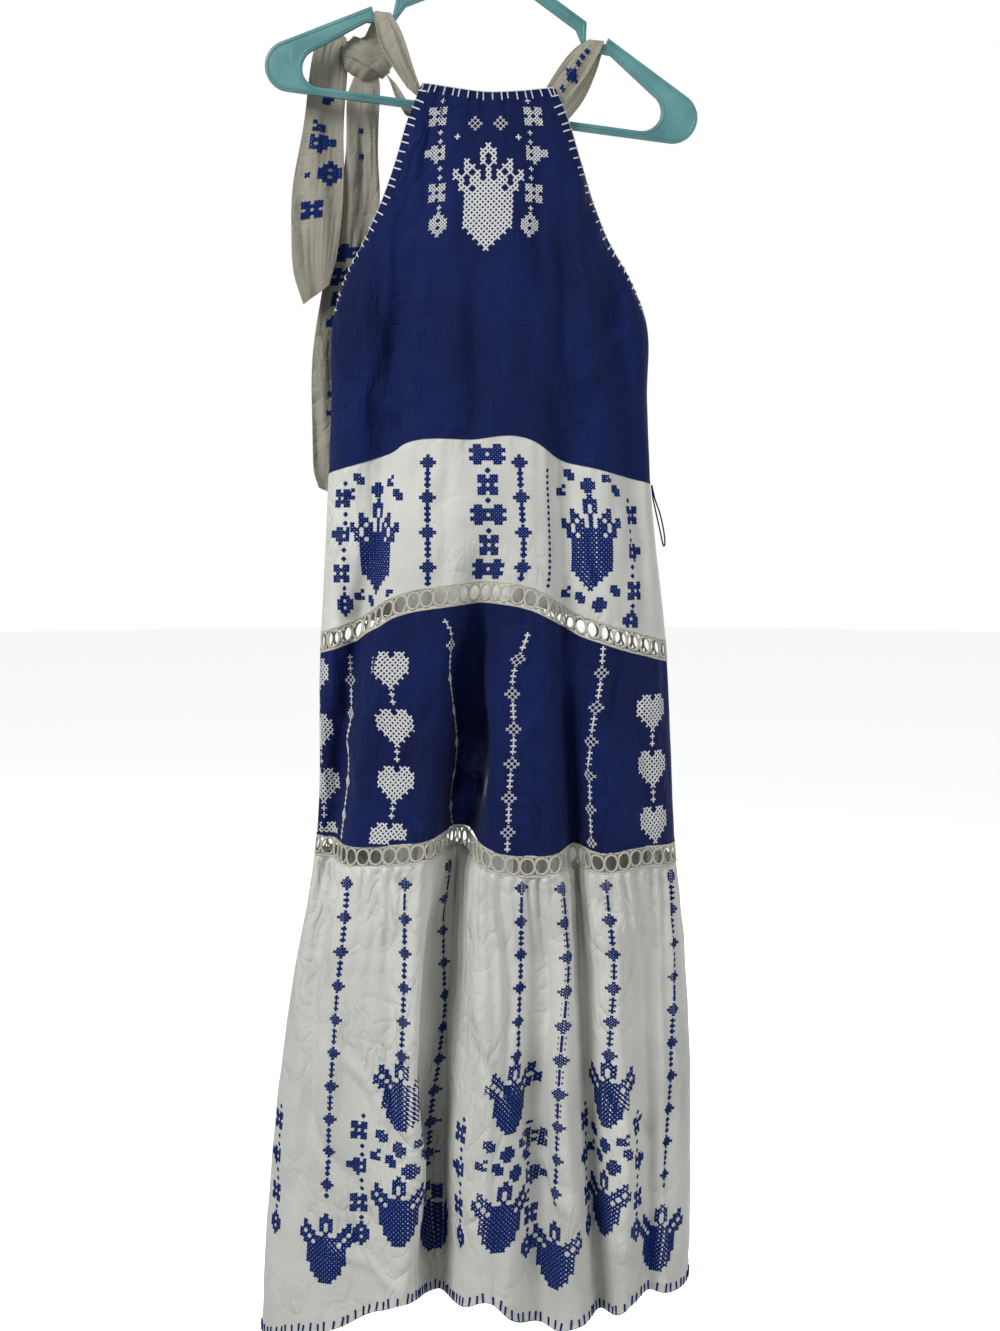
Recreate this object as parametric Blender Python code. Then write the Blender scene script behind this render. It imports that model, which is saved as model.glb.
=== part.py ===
"""Tiered halter maxi dress hanging on a moulded clothes hanger, as separate sewn pieces.

Metres, +Z up. The origin is the inside top of the hanger's hook, where a rail holds it.
The dress faces -Y, and +X is to the right of someone looking at its front.
"""

import math
from collections import Counter, namedtuple

import bmesh
import bpy
import numpy as np
from mathutils import Matrix, Vector
from mathutils.geometry import delaunay_2d_cdt

# Walls and gaps
CLOTH_WALL = 0.0018
LACE_WALL = 0.0018
SASH_WALL = 0.0015
SEAM_GAP = 0.0003

HANGER_TILT = math.radians(7.5)

# Each panel's columns and rows of cloth, with rows as shares of the way down it
GRIDS = {
    "bodice": dict(columns=36, rows=(0.0, 0.09, 0.24, 0.42, 0.60, 0.80, 1.0)),
    "tier_1": dict(columns=36, rows=(0.0, 0.04, 0.46, 1.0)),
    "tier_2": dict(columns=56, rows=(0.0, 0.03, 0.30, 0.64, 1.0)),
    "tier_3": dict(columns=84, rows=(0.0, 0.02, 0.19, 0.55, 1.0)),
}
LACE_1_RINGS = 34
LACE_2_RINGS = 42
LACE_HEIGHT = 0.0205
# The gap in a ring: shares of the ring's pitch across, and of half the band's height up
RING_GAP = ((0.50, 0.66), (0.84, 0.32), (0.84, -0.32), (0.50, -0.66), (0.16, -0.32), (0.16, 0.32))

FRONT, BACK = -1.0, 1.0
SIDE_NAMES = {FRONT: "front", BACK: "back"}

Material = namedtuple("Material", "colour roughness")
MATERIALS = {
    "royal_blue_cotton": Material((0.012, 0.026, 0.200), 0.85),
    "off_white_cotton": Material((0.700, 0.680, 0.610), 0.88),
    "ring_lace": Material((0.740, 0.720, 0.630), 0.80),
    "teal_plastic": Material((0.080, 0.270, 0.270), 0.42),
    "navy_cord": Material((0.010, 0.014, 0.070), 0.75),
}


def table(columns, *rows):
    """A short table as one array for each named column."""
    return {name: np.array(values) for name, values in zip(columns.split(), zip(*rows))}


# The garment's horizontal sections, top to bottom: depth is how far the middle of the
# front or back stands off the hanging plane, and edge how far its side edges do
SECTIONS = table(
    "z centre half_width front back front_edge back_edge",
    (-0.190, 0.000, 0.0650, 0.030, 0.026, 0.0180, 0.0170),
    (-0.226, 0.000, 0.0800, 0.034, 0.029, 0.0165, 0.0155),
    (-0.265, 0.000, 0.0925, 0.039, 0.033, 0.0145, 0.0135),
    (-0.304, -0.001, 0.1060, 0.044, 0.036, 0.0120, 0.0110),
    (-0.343, -0.002, 0.1235, 0.049, 0.039, 0.0085, 0.0080),
    (-0.377, -0.001, 0.1430, 0.053, 0.042, 0.0045, 0.0040),
    (-0.416, 0.001, 0.1580, 0.057, 0.045, 0.0, 0.0),
    (-0.500, 0.001, 0.1615, 0.062, 0.048, 0.0, 0.0),
    (-0.580, 0.001, 0.1650, 0.066, 0.052, 0.0, 0.0),
    (-0.750, 0.005, 0.1790, 0.078, 0.060, 0.0, 0.0),
    (-0.965, 0.007, 0.1890, 0.090, 0.070, 0.0, 0.0),
    (-1.130, 0.000, 0.2110, 0.100, 0.080, 0.0, 0.0),
    (-1.300, -0.008, 0.2240, 0.108, 0.087, 0.0, 0.0),
    (-1.490, -0.016, 0.2300, 0.114, 0.092, 0.0, 0.0),
)
SECTION_FLATNESS = 0.9

# Lines across the cloth: their heights at x, on the front and on the back
LINE_COLUMNS = "x front back"
LINES = {
    "neck": table(
        LINE_COLUMNS,
        (-0.0700, -0.1900, -0.2030),
        (-0.0275, -0.1980, -0.2105),
        (0.0000, -0.2015, -0.2140),
        (0.0320, -0.2000, -0.2125),
        (0.0680, -0.1950, -0.2075),
    ),
    "waist": table(
        LINE_COLUMNS,
        (-0.163, -0.5750, -0.5750),
        (-0.103, -0.5570, -0.5620),
        (-0.085, -0.5480, -0.5590),
        (-0.018, -0.5435, -0.5520),
        (0.050, -0.5470, -0.5560),
        (0.066, -0.5590, -0.5580),
        (0.112, -0.5730, -0.5710),
        (0.165, -0.5860, -0.5860),
    ),
    "lace_1": table(
        LINE_COLUMNS,
        (-0.174, -0.7495, -0.7495),
        (-0.125, -0.7290, -0.7370),
        (-0.105, -0.7150, -0.7320),
        (-0.040, -0.6980, -0.7220),
        (0.010, -0.6950, -0.7180),
        (0.060, -0.7090, -0.7270),
        (0.078, -0.7210, -0.7310),
        (0.119, -0.7370, -0.7420),
        (0.184, -0.7580, -0.7580),
    ),
    "lace_2": table(
        LINE_COLUMNS,
        (-0.182, -0.9620, -0.9620),
        (-0.149, -0.9640, -0.9630),
        (-0.080, -0.9570, -0.9650),
        (-0.036, -0.9510, -0.9660),
        (-0.012, -0.9580, -0.9680),
        (0.010, -0.9640, -0.9690),
        (0.062, -0.9670, -0.9680),
        (0.084, -0.9640, -0.9670),
        (0.120, -0.9680, -0.9660),
        (0.153, -0.9650, -0.9660),
        (0.196, -0.9690, -0.9690),
    ),
    "hem": table(
        LINE_COLUMNS,
        (-0.247, -1.4950, -1.4950),
        (-0.200, -1.4660, -1.4760),
        (-0.149, -1.4480, -1.4620),
        (-0.113, -1.4270, -1.4560),
        (-0.079, -1.4170, -1.4520),
        (-0.053, -1.4380, -1.4490),
        (-0.027, -1.4200, -1.4460),
        (0.000, -1.4110, -1.4450),
        (0.025, -1.4320, -1.4460),
        (0.064, -1.4470, -1.4480),
        (0.105, -1.4420, -1.4450),
        (0.118, -1.4460, -1.4430),
        (0.153, -1.4280, -1.4380),
        (0.213, -1.4330, -1.4330),
    ),
}

# Hanging folds: each is a trough that runs from x_top at z_top to x_low at z_low and is
# full depth between z_deep and z_fade. left and right are the reach of its two walls
FOLD_COLUMNS = "side x_top z_top x_low z_low bend z_deep z_fade depth left right"
FOLDS = table(
    FOLD_COLUMNS,
    (FRONT, -0.084, -0.235, -0.120, -0.720, 1.0, -0.420, -0.720, 0.017, 0.022, 0.011),
    (FRONT, -0.122, -0.640, -0.190, -1.180, 1.0, -0.780, -0.930, 0.032, 0.016, 0.012),
    (FRONT, 0.002, -0.585, -0.053, -1.480, 1.6, -0.900, -1.490, 0.082, 0.018, 0.018),
    (FRONT, 0.066, -0.440, 0.079, -0.790, 1.0, -0.570, -0.720, 0.022, 0.010, 0.022),
    (FRONT, 0.076, -0.690, 0.120, -1.470, 0.8, -0.860, -1.490, 0.040, 0.012, 0.013),
    (FRONT, 0.116, -0.300, 0.160, -0.760, 1.0, -0.440, -0.640, 0.014, 0.013, 0.012),
    (FRONT, 0.042, -0.960, 0.052, -1.480, 1.0, -1.160, -1.490, 0.024, 0.019, 0.017),
    (FRONT, 0.160, -0.930, 0.168, -1.480, 1.0, -1.080, -1.490, 0.018, 0.011, 0.012),
    (FRONT, -0.128, -1.000, -0.132, -1.480, 1.0, -1.250, -1.490, 0.010, 0.026, 0.024),
    (BACK, -0.075, -0.260, -0.104, -0.800, 1.0, -0.450, -0.700, 0.012, 0.017, 0.015),
    (BACK, -0.100, -0.720, -0.150, -1.480, 1.0, -0.930, -1.490, 0.036, 0.015, 0.015),
    (BACK, -0.026, -0.950, -0.040, -1.480, 1.0, -1.180, -1.490, 0.026, 0.018, 0.018),
    (BACK, 0.014, -0.560, 0.034, -1.480, 1.0, -0.890, -1.490, 0.044, 0.016, 0.018),
    (BACK, 0.086, -0.300, 0.098, -0.820, 1.0, -0.480, -0.720, 0.013, 0.015, 0.017),
    (BACK, 0.094, -0.740, 0.135, -1.480, 1.0, -0.940, -1.490, 0.034, 0.014, 0.014),
)

# Gathers at the top of each panel: how many, half the height of their wave, the height
# over which it grows from the flat seam, and how far down it dies away
GATHERS = {
    "bodice": dict(waves=9, amplitude=0.0013, grows=0.0001, reach=0.045),
    "tier_1": dict(waves=9, amplitude=0.0012, grows=0.0050, reach=0.050),
    "tier_2": dict(waves=28, amplitude=0.0016, grows=0.0060, reach=0.060),
    "tier_3": dict(waves=42, amplitude=0.0026, grows=0.0080, reach=0.120),
}
GATHER_FADE_AT_SIDE = 0.04

# The hanger in its own plane, untilted: x across, z below the hook's inside top
HANGER_THICKNESS = 0.006
FRAME_X = 0.0187
RAIL_APEX_Z = -0.0608
RAIL_SLOPE = math.tan(math.radians(28.1))
RAIL_DEPTH = 0.0142
END_CENTRE, END_RADIUS = (0.1945, -0.1930), 0.025
INNER_CENTRE, INNER_RADIUS = (0.1630, -0.1910), 0.019
BAR_TOP_Z, BAR_LOW_Z = -0.2100, -0.2180
NOTCH = dict(start=0.0960, floor_start=0.0980, floor_end=0.1170, tip=0.1195)
NOTCH_FLOOR_Z, NOTCH_UNDER_Z = -0.1310, -0.1405
HOOK_WIRE, HOOK_RADIUS = 0.0035, 0.0240

# The sash: a row for each section, with the middle of the cloth, its width, the angle of
# the width from +X in the X-Z plane, and the half height of its lengthwise folds
SASH_COLUMNS = "x y z width angle fold"
SASH_RIGHT = table(
    SASH_COLUMNS,
    (0.0560, -0.0140, -0.2120, 0.018, -56, 0.0000),
    (0.0730, -0.0148, -0.1925, 0.025, -54, 0.0008),
    (0.0885, -0.0138, -0.1720, 0.025, -46, 0.0014),
    (0.0998, -0.0092, -0.1560, 0.022, -30, 0.0008),
    (0.1082, -0.0043, -0.1455, 0.016, -7.5, 0.0),
    (0.1082, 0.0000, -0.1443, 0.016, -7.5, 0.0),
    (0.1082, 0.0043, -0.1455, 0.016, -7.5, 0.0),
    (0.1055, 0.0070, -0.1530, 0.019, -14, 0.0004),
    (0.0985, 0.0115, -0.1690, 0.023, -26, 0.0012),
    (0.0850, 0.0135, -0.1930, 0.025, -32, 0.0008),
    (0.0630, 0.0130, -0.2200, 0.024, -38, 0.0000),
)
SASH_FRONT_LEFT = table(
    SASH_COLUMNS,
    (-0.0700, -0.0155, -0.2020, 0.026, -38, 0.0000),
    (-0.0790, -0.0160, -0.1870, 0.030, -36, 0.0008),
    (-0.0900, -0.0150, -0.1650, 0.036, -30, 0.0022),
    (-0.0985, -0.0105, -0.1370, 0.030, -18, 0.0014),
    (-0.1040, -0.0065, -0.1210, 0.020, -10, 0.0004),
    (-0.1052, -0.0043, -0.1175, 0.016, -7.5, 0.0),
    (-0.1052, 0.0000, -0.1163, 0.016, -7.5, 0.0),
    (-0.1052, 0.0043, -0.1175, 0.016, -7.5, 0.0),
    (-0.1075, 0.0072, -0.1240, 0.019, -12, 0.0004),
    (-0.1150, 0.0145, -0.1398, 0.022, -20, 0.0),
)
SASH_BACK_LEFT = table(
    SASH_COLUMNS,
    (-0.0760, 0.0135, -0.2190, 0.024, -40, 0.0000),
    (-0.0840, 0.0145, -0.2050, 0.026, -42, 0.0006),
    (-0.0925, 0.0185, -0.1870, 0.020, -42, 0.0010),
    (-0.0990, 0.0222, -0.1750, 0.014, -45, 0.0),
)
TAIL_SHORT = table(
    SASH_COLUMNS,
    (-0.1431, 0.0237, -0.1436, 0.020, 100, 0.0000),
    (-0.1510, 0.0255, -0.1355, 0.026, 115, 0.0014),
    (-0.1570, 0.0260, -0.1400, 0.030, 140, 0.0018),
    (-0.1608, 0.0260, -0.1520, 0.034, 155, 0.0020),
    (-0.1640, 0.0262, -0.1750, 0.038, 168, 0.0022),
    (-0.1690, 0.0268, -0.2200, 0.044, 176, 0.0024),
    (-0.1745, 0.0272, -0.2700, 0.050, 182, 0.0024),
    (-0.1780, 0.0280, -0.3200, 0.050, 186, 0.0022),
    (-0.1800, 0.0290, -0.3600, 0.048, 196, 0.0018),
    (-0.1790, 0.0300, -0.3900, 0.034, 216, 0.0008),
)
TAIL_LONG = table(
    SASH_COLUMNS,
    (-0.1250, 0.0215, -0.1778, 0.028, 180, 0.0000),
    (-0.1280, 0.0220, -0.2000, 0.033, 180, 0.0016),
    (-0.1300, 0.0285, -0.2450, 0.035, 180, 0.0022),
    (-0.1345, 0.0380, -0.2950, 0.042, 180, 0.0024),
    (-0.1450, 0.0435, -0.3450, 0.042, 181, 0.0024),
    (-0.1580, 0.0485, -0.3950, 0.040, 182, 0.0022),
    (-0.1660, 0.0510, -0.4500, 0.038, 181, 0.0020),
    (-0.1690, 0.0510, -0.5200, 0.038, 180, 0.0018),
    (-0.1690, 0.0500, -0.5650, 0.036, 178, 0.0014),
    (-0.1670, 0.0490, -0.5950, 0.030, 155, 0.0008),
)
SASH_WAVE = (0.2, 1.0, -0.5, 0.6, -1.0, 0.5, -0.3)
KNOT_CENTRE = (-0.1215, 0.0225, -0.1570)
KNOT_RADII = (0.0225, 0.0150, 0.0205)

# The thread loop at the right end of the waist seam
LOOP_WIRE = 0.0008
LOOP_POINTS = table(
    "x y z",
    (0.1680, -0.0030, -0.5870),
    (0.1698, -0.0034, -0.6010),
    (0.1733, -0.0036, -0.6170),
    (0.1773, -0.0034, -0.6340),
    (0.1799, -0.0028, -0.6455),
    (0.1815, -0.0010, -0.6495),
    (0.1829, 0.0010, -0.6470),
    (0.1819, 0.0024, -0.6350),
    (0.1779, 0.0034, -0.6170),
    (0.1723, 0.0036, -0.6010),
    (0.1690, 0.0030, -0.5870),
)


def ease(t):
    """0 to 1 with soft ends."""
    t = np.clip(t, 0.0, 1.0)
    return t * t * (3.0 - 2.0 * t)


def soft(at, knots, values):
    """A smooth curve through a short table's points. The knots may run up or down."""
    order = np.argsort(knots)
    k, v = knots[order], values[order]
    slope = np.gradient(v, k)
    i = np.clip(np.searchsorted(k, at) - 1, 0, len(k) - 2)
    span = k[i + 1] - k[i]
    t = np.clip((at - k[i]) / span, 0.0, 1.0)
    rise = (2 * t**3 - 3 * t**2 + 1) * v[i] + (3 * t**2 - 2 * t**3) * v[i + 1]
    bend = (t**3 - 2 * t**2 + t) * slope[i] + (t**3 - t**2) * slope[i + 1]
    return rise + span * bend


def folds_at(side, x, z):
    """How far the hanging folds push the cloth in at x and z."""
    push = np.zeros(np.broadcast(x, z).shape)
    for row in zip(*FOLDS.values()):
        fold = dict(zip(FOLDS, row))
        if fold["side"] != side:
            continue
        down = np.clip((fold["z_top"] - z) / (fold["z_top"] - fold["z_low"]), 0.0, 1.0)
        path = fold["x_low"] + (fold["x_top"] - fold["x_low"]) * (1 - down) ** fold["bend"]
        grow = ease((fold["z_top"] - z) / (fold["z_top"] - fold["z_deep"]))
        fade = 1 - ease((fold["z_fade"] - z) / max(fold["z_fade"] - fold["z_low"], 0.02))
        reach = np.where(x < path, fold["left"], fold["right"])
        push += fold["depth"] * grow * fade * np.exp(-(((x - path) / reach) ** 2))
    return push


def section_point(side, angle, z):
    """The cloth's middle surface at an angle from the left side (0) to the right (pi)."""
    centre = soft(z, SECTIONS["z"], SECTIONS["centre"])
    half = soft(z, SECTIONS["z"], SECTIONS["half_width"])
    name = SIDE_NAMES[side]
    depth, edge = (soft(z, SECTIONS["z"], SECTIONS[n]) for n in (name, f"{name}_edge"))
    edge = np.maximum(edge, 0.0) + (SEAM_GAP / 2)
    x = centre - half * np.cos(angle)
    bow = np.maximum(np.sin(angle), 0.0) ** SECTION_FLATNESS
    inward = folds_at(side, x, z) * np.minimum(1.0, 4 * bow)
    return x, side * (edge + (depth - edge) * bow - inward)


def cloth(side, u, z):
    """Point and outward normal, level with the floor, at share u of the way round."""
    angles = np.linspace(0.0, math.pi, 361)
    shape = np.broadcast(u, z).shape
    u, z = (np.broadcast_to(a, shape).ravel() for a in (u, z))
    points, normals = np.empty((len(u), 2)), np.empty((len(u), 2))
    for i, (share, height) in enumerate(zip(u, z)):
        x, y = section_point(side, angles, np.full_like(angles, height))
        run = np.concatenate([[0.0], np.cumsum(np.hypot(np.diff(x), np.diff(y)))])
        at = share * run[-1]
        points[i] = np.interp(at, run, x), np.interp(at, run, y)
        tx = np.interp(at, run, np.gradient(x, run))
        ty = np.interp(at, run, np.gradient(y, run))
        normals[i] = np.array([-side * ty, side * tx]) * (1 / math.hypot(tx, ty))
    return points.reshape(*shape, 2), normals.reshape(*shape, 2)


def line_z(name, side, u):
    """Height of a named line across the cloth at share u of the way round."""
    line = LINES[name]
    heights = line[SIDE_NAMES[side]]
    across = np.linspace(0.0, 1.0, 121)
    middle, _ = cloth(side, across, np.full_like(across, heights.mean()))
    return soft(np.interp(u, across, middle[:, 0]), line["x"], heights)


def gather_wave(kind, u, below):
    """How far the gathers lift the cloth off its middle surface."""
    gathers = GATHERS[kind]
    at_side = np.clip(np.minimum(u, 1 - u) / GATHER_FADE_AT_SIDE, 0.0, 1.0)
    uneven = 0.72 + 0.28 * np.sin(23.0 * u + 1.3) * np.sin(57.0 * u)
    fall = ease(below / gathers["grows"]) * np.exp(-((below / gathers["reach"]) ** 2))
    wave = np.cos(2 * math.pi * gathers["waves"] * u)
    return gathers["amplitude"] * uneven * at_side * fall * wave


def paint(obj, material):
    values = MATERIALS[material]
    found = bpy.data.materials.get(material) or bpy.data.materials.new(material)
    found.use_nodes = True
    shader = found.node_tree.nodes["Principled BSDF"]
    shader.inputs["Base Color"].default_value = (*values.colour, 1.0)
    shader.inputs["Roughness"].default_value = values.roughness
    shader.inputs["Metallic"].default_value = 0.0
    obj.data.materials.clear()
    obj.data.materials.append(found)
    return obj


def mesh_object(name, points, faces, material):
    mesh = bpy.data.meshes.new(name)
    mesh.from_pydata([tuple(p) for p in points], [], faces)
    shell = bmesh.new()
    shell.from_mesh(mesh)
    bmesh.ops.recalc_face_normals(shell, faces=shell.faces)
    if shell.calc_volume(signed=True) < 0:
        bmesh.ops.reverse_faces(shell, faces=shell.faces)
    shell.to_mesh(mesh)
    shell.free()
    mesh.shade_smooth()
    mesh.set_sharp_from_angle(angle=math.radians(50))
    obj = bpy.data.objects.new(name, mesh)
    bpy.data.collections["tiered_maxi_dress"].objects.link(obj)
    return paint(obj, material)


def edge_faces(a, b, other):
    """A wall's edge face from a to b, split the same way on both sides of every seam."""
    return [[a, b, b + other], [a, b + other, a + other]]


def wall_between(name, outside, inside, material):
    """A closed wall from two grids of points, rows down and columns across."""
    rows, columns = outside.shape[:2]
    points = np.concatenate([outside.reshape(-1, 3), inside.reshape(-1, 3)])
    other = rows * columns
    index = np.arange(other).reshape(rows, columns)
    faces = []
    for r in range(rows - 1):
        for c in range(columns - 1):
            quad = [index[r, c], index[r, c + 1], index[r + 1, c + 1], index[r + 1, c]]
            faces += [quad, [i + other for i in reversed(quad)]]
    rim = [*index[0, :-1], *index[:-1, -1], *index[-1, :0:-1], *index[:0:-1, 0]]
    for ends in zip(rim, [*rim[1:], rim[0]]):
        faces += edge_faces(*sorted(ends), other)
    return mesh_object(name, points, [[int(i) for i in f] for f in faces], material)


def wall_points(side, u, z, thickness, wave=0.0):
    """The outside and inside points of a wall on the cloth's middle surface."""
    middle, normal = cloth(side, u, z)
    found = []
    for offset in (thickness / 2, -thickness / 2):
        flat = middle + normal * (wave + offset)[..., None]
        found.append(np.concatenate([flat, z[..., None]], axis=-1))
    return found


def panel(kind, side, top, low, material, trims=(0.0, 0.0)):
    """One sewn panel between two lines, cut back at its top and low edge by the trims."""
    grid = GRIDS[kind]
    across = np.linspace(0.0, 1.0, grid["columns"] + 1)
    u, down = np.meshgrid(across, np.array(grid["rows"]))
    top_z = line_z(top, side, u) - SEAM_GAP / 2 - trims[0]
    low_z = line_z(low, side, u) + SEAM_GAP / 2 + trims[1]
    z = top_z + (low_z - top_z) * down
    outside, inside = wall_points(side, u, z, CLOTH_WALL, gather_wave(kind, u, top_z - z))
    return wall_between(f"{kind}_{SIDE_NAMES[side]}", outside, inside, material)


def lace_band(line, side, rings, above, below, material):
    """A band of oval rings between two tapes, with each ring's gap cut right through.

    Its edges have the same columns as the panels above and below, so the seams stay even.
    """
    half = LACE_HEIGHT / 2 - SEAM_GAP / 2
    top, low = (np.linspace(0.0, 1.0, GRIDS[kind]["columns"] + 1) for kind in (above, below))
    outline = [(share, 1.0) for share in top] + [(share, -1.0) for share in low[::-1]]
    ovals = [[((i + across) / rings, up) for across, up in RING_GAP] for i in range(rings)]
    flat, edges = [], []
    for loop in [outline, *ovals]:
        first = len(flat)
        flat += [Vector((share * rings, up)) for share, up in loop]
        edges += [(i, i + 1) for i in range(first, len(flat) - 1)] + [(len(flat) - 1, first)]
    triangles = [list(face) for face in delaunay_2d_cdt(flat, edges, [], 1, 1e-6)[2]]
    loop_of = [max(0, 1 + (i - len(outline)) // len(RING_GAP)) for i in range(len(flat))]
    in_gap = [loop_of[a] == loop_of[b] == loop_of[c] > 0 for a, b, c in triangles]
    faces = [face for face, gap in zip(triangles, in_gap) if not gap]
    u = np.array([spot.x / rings for spot in flat])
    z = line_z(line, side, u) + half * np.array([spot.y for spot in flat])
    outside, inside = wall_points(side, u, z, LACE_WALL, np.zeros_like(u))
    other = len(flat)
    used = Counter(frozenset(edge) for face in faces for edge in zip(face, face[1:] + face[:1]))
    edges_once = [sorted(edge, key=lambda i: u[i]) for edge, uses in used.items() if uses == 1]
    faces += [[v + other for v in reversed(face)] for face in faces]
    for a, b in edges_once:
        faces += edge_faces(a, b, other)
    points = np.concatenate([outside, inside])
    return mesh_object(f"{line}_{SIDE_NAMES[side]}", points, faces, material)


def ribbon(name, route, material):
    """A strip of sash cloth along its route, with soft lengthwise folds."""
    middle = np.stack([route["x"], route["y"], route["z"]], axis=1)
    along = np.gradient(middle, axis=0)
    along /= np.linalg.norm(along, axis=1)[:, None]
    angle = np.radians(route["angle"])
    across = np.stack([np.cos(angle), np.zeros_like(angle), np.sin(angle)], axis=1)
    facing = np.cross(along, across)
    facing /= np.linalg.norm(facing, axis=1)[:, None]
    shares = np.linspace(-0.5, 0.5, len(SASH_WAVE))
    zigzag = np.array(SASH_WAVE)
    flat = middle[:, None] + across[:, None] * (route["width"][:, None] * shares)[..., None]
    lift = route["fold"][:, None] * zigzag
    outside = flat + facing[:, None] * (lift + SASH_WALL / 2)[..., None]
    inside = flat + facing[:, None] * (lift - SASH_WALL / 2)[..., None]
    return wall_between(name, outside, inside, material)


def sash_knot(name, material):
    """The tied lump, pinched where its wrap goes round it."""
    lump = bmesh.new()
    bmesh.ops.create_uvsphere(lump, u_segments=14, v_segments=9, radius=1.0)
    for vert in lump.verts:
        x, y, z = vert.co
        pinch = 1.0 - 0.10 * math.exp(-((z / 0.35) ** 2))
        ridge = 1.0 + 0.05 * math.cos(5 * math.atan2(y, x)) * (1 - z * z)
        radii = np.array(KNOT_RADII) * pinch * ridge
        vert.co = np.array(KNOT_CENTRE) + np.array([x, y, z]) * radii
    mesh = bpy.data.meshes.new(name)
    lump.to_mesh(mesh)
    lump.free()
    mesh.shade_smooth()
    obj = bpy.data.objects.new(name, mesh)
    bpy.data.collections["tiered_maxi_dress"].objects.link(obj)
    return paint(obj, material)


def arc(centre, radius, start, end, steps):
    """Points on an arc in the hanger's plane. Angles are in degrees."""
    return [
        (centre[0] + radius * math.cos(a), centre[1] + radius * math.sin(a))
        for a in np.radians(np.linspace(start, end, steps))
    ]


def hanger_outlines():
    """The outer edge and the big opening, from the right half and its mirror image."""
    square_off = 90.0 - math.degrees(math.atan(RAIL_SLOPE))

    def rail(x, below=0.0):
        return (x, RAIL_APEX_Z - RAIL_SLOPE * x - below)

    outer = [
        (0.0065, RAIL_APEX_Z + 0.005),
        rail(0.011),
        rail(NOTCH["start"]),
        (NOTCH["floor_start"], NOTCH_FLOOR_Z),
        (NOTCH["floor_end"], NOTCH_FLOOR_Z),
        rail(NOTCH["tip"]),
        *arc(END_CENTRE, END_RADIUS, square_off, -90.0, 12),
    ]
    inner = [
        *arc(INNER_CENTRE, INNER_RADIUS, -90.0, square_off, 9),
        rail(NOTCH["tip"] + 0.004, RAIL_DEPTH),
        (NOTCH["floor_end"] - 0.002, NOTCH_UNDER_Z),
        (NOTCH["floor_start"] - 0.001, NOTCH_UNDER_Z + 0.001),
        rail(NOTCH["start"] - 0.010, RAIL_DEPTH),
        rail(0.010, RAIL_DEPTH),
    ]
    both = [half + [(-x, z) for x, z in reversed(half)] for half in (outer, inner)]
    return [[(x + FRAME_X, z) for x, z in outline] for outline in both]


def hang(obj):
    """Tilts a piece of the hanger about the hook's inside top."""
    obj.rotation_euler = (0.0, HANGER_TILT, 0.0)
    return obj


def hanger_frame(name, material):
    plate = bpy.data.curves.new(name, "CURVE")
    plate.dimensions = "2D"
    plate.fill_mode = "BOTH"
    plate.extrude = HANGER_THICKNESS / 2
    for outline in hanger_outlines():
        spline = plate.splines.new("POLY")
        spline.points.add(len(outline) - 1)
        for point, (x, z) in zip(spline.points, outline):
            point.co = (x, z, 0.0, 1.0)
        spline.use_cyclic_u = True
    obj = bpy.data.objects.new(name, plate)
    bpy.data.collections["tiered_maxi_dress"].objects.link(obj)
    upright = Matrix.Rotation(math.radians(90), 4, "X")
    obj.matrix_world = Matrix.Rotation(HANGER_TILT, 4, "Y") @ upright
    return paint(obj, material)


def tube(name, points, radius, sides, material):
    """A round rod along its points, with closed ends."""
    wire = bpy.data.curves.new(name, "CURVE")
    wire.dimensions = "3D"
    wire.bevel_depth = radius
    wire.bevel_resolution = sides
    wire.use_fill_caps = True
    spline = wire.splines.new("POLY")
    spline.points.add(len(points) - 1)
    for point, co in zip(spline.points, points):
        point.co = (*co, 1.0)
    obj = bpy.data.objects.new(name, wire)
    bpy.data.collections["tiered_maxi_dress"].objects.link(obj)
    return paint(obj, material)


def hanger_hook(name, material):
    """A round hook over the rail, and its shank down to the frame's shoulder block."""
    centre = (0.0, HOOK_WIRE - HOOK_RADIUS)
    top_of_block = RAIL_APEX_Z + 0.005
    route = arc(centre, HOOK_RADIUS, 205.0, -25.0, 17)
    route += [(0.0200, -0.0370), (FRAME_X, -0.0440)]
    route.append((FRAME_X, top_of_block + SEAM_GAP))
    return hang(tube(name, [(x, 0.0, z) for x, z in route], HOOK_WIRE, 2, material))


def start_scene():
    for obj in list(bpy.data.objects):
        bpy.data.objects.remove(obj)
    parts = bpy.data.collections.new("tiered_maxi_dress")
    bpy.context.scene.collection.children.link(parts)


def main():
    start_scene()
    half_lace = LACE_HEIGHT / 2
    for side in SIDE_NAMES:
        panel("bodice", side, "neck", "waist", "royal_blue_cotton")
        panel("tier_1", side, "waist", "lace_1", "off_white_cotton", (0.0, half_lace))
        lace_band("lace_1", side, LACE_1_RINGS, "tier_1", "tier_2", "ring_lace")
        panel("tier_2", side, "lace_1", "lace_2", "royal_blue_cotton", (half_lace, half_lace))
        lace_band("lace_2", side, LACE_2_RINGS, "tier_2", "tier_3", "ring_lace")
        panel("tier_3", side, "lace_2", "hem", "off_white_cotton", (half_lace, 0.0))
    ribbon("sash_right", SASH_RIGHT, "off_white_cotton")
    ribbon("sash_front_left", SASH_FRONT_LEFT, "off_white_cotton")
    ribbon("sash_back_left", SASH_BACK_LEFT, "off_white_cotton")
    sash_knot("sash_knot", "off_white_cotton")
    ribbon("sash_tail_short", TAIL_SHORT, "off_white_cotton")
    ribbon("sash_tail_long", TAIL_LONG, "off_white_cotton")
    tube("side_loop", list(zip(*LOOP_POINTS.values())), LOOP_WIRE, 1, "navy_cord")
    hanger_frame("hanger_frame", "teal_plastic")
    hanger_hook("hanger_hook", "teal_plastic")


main()
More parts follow.
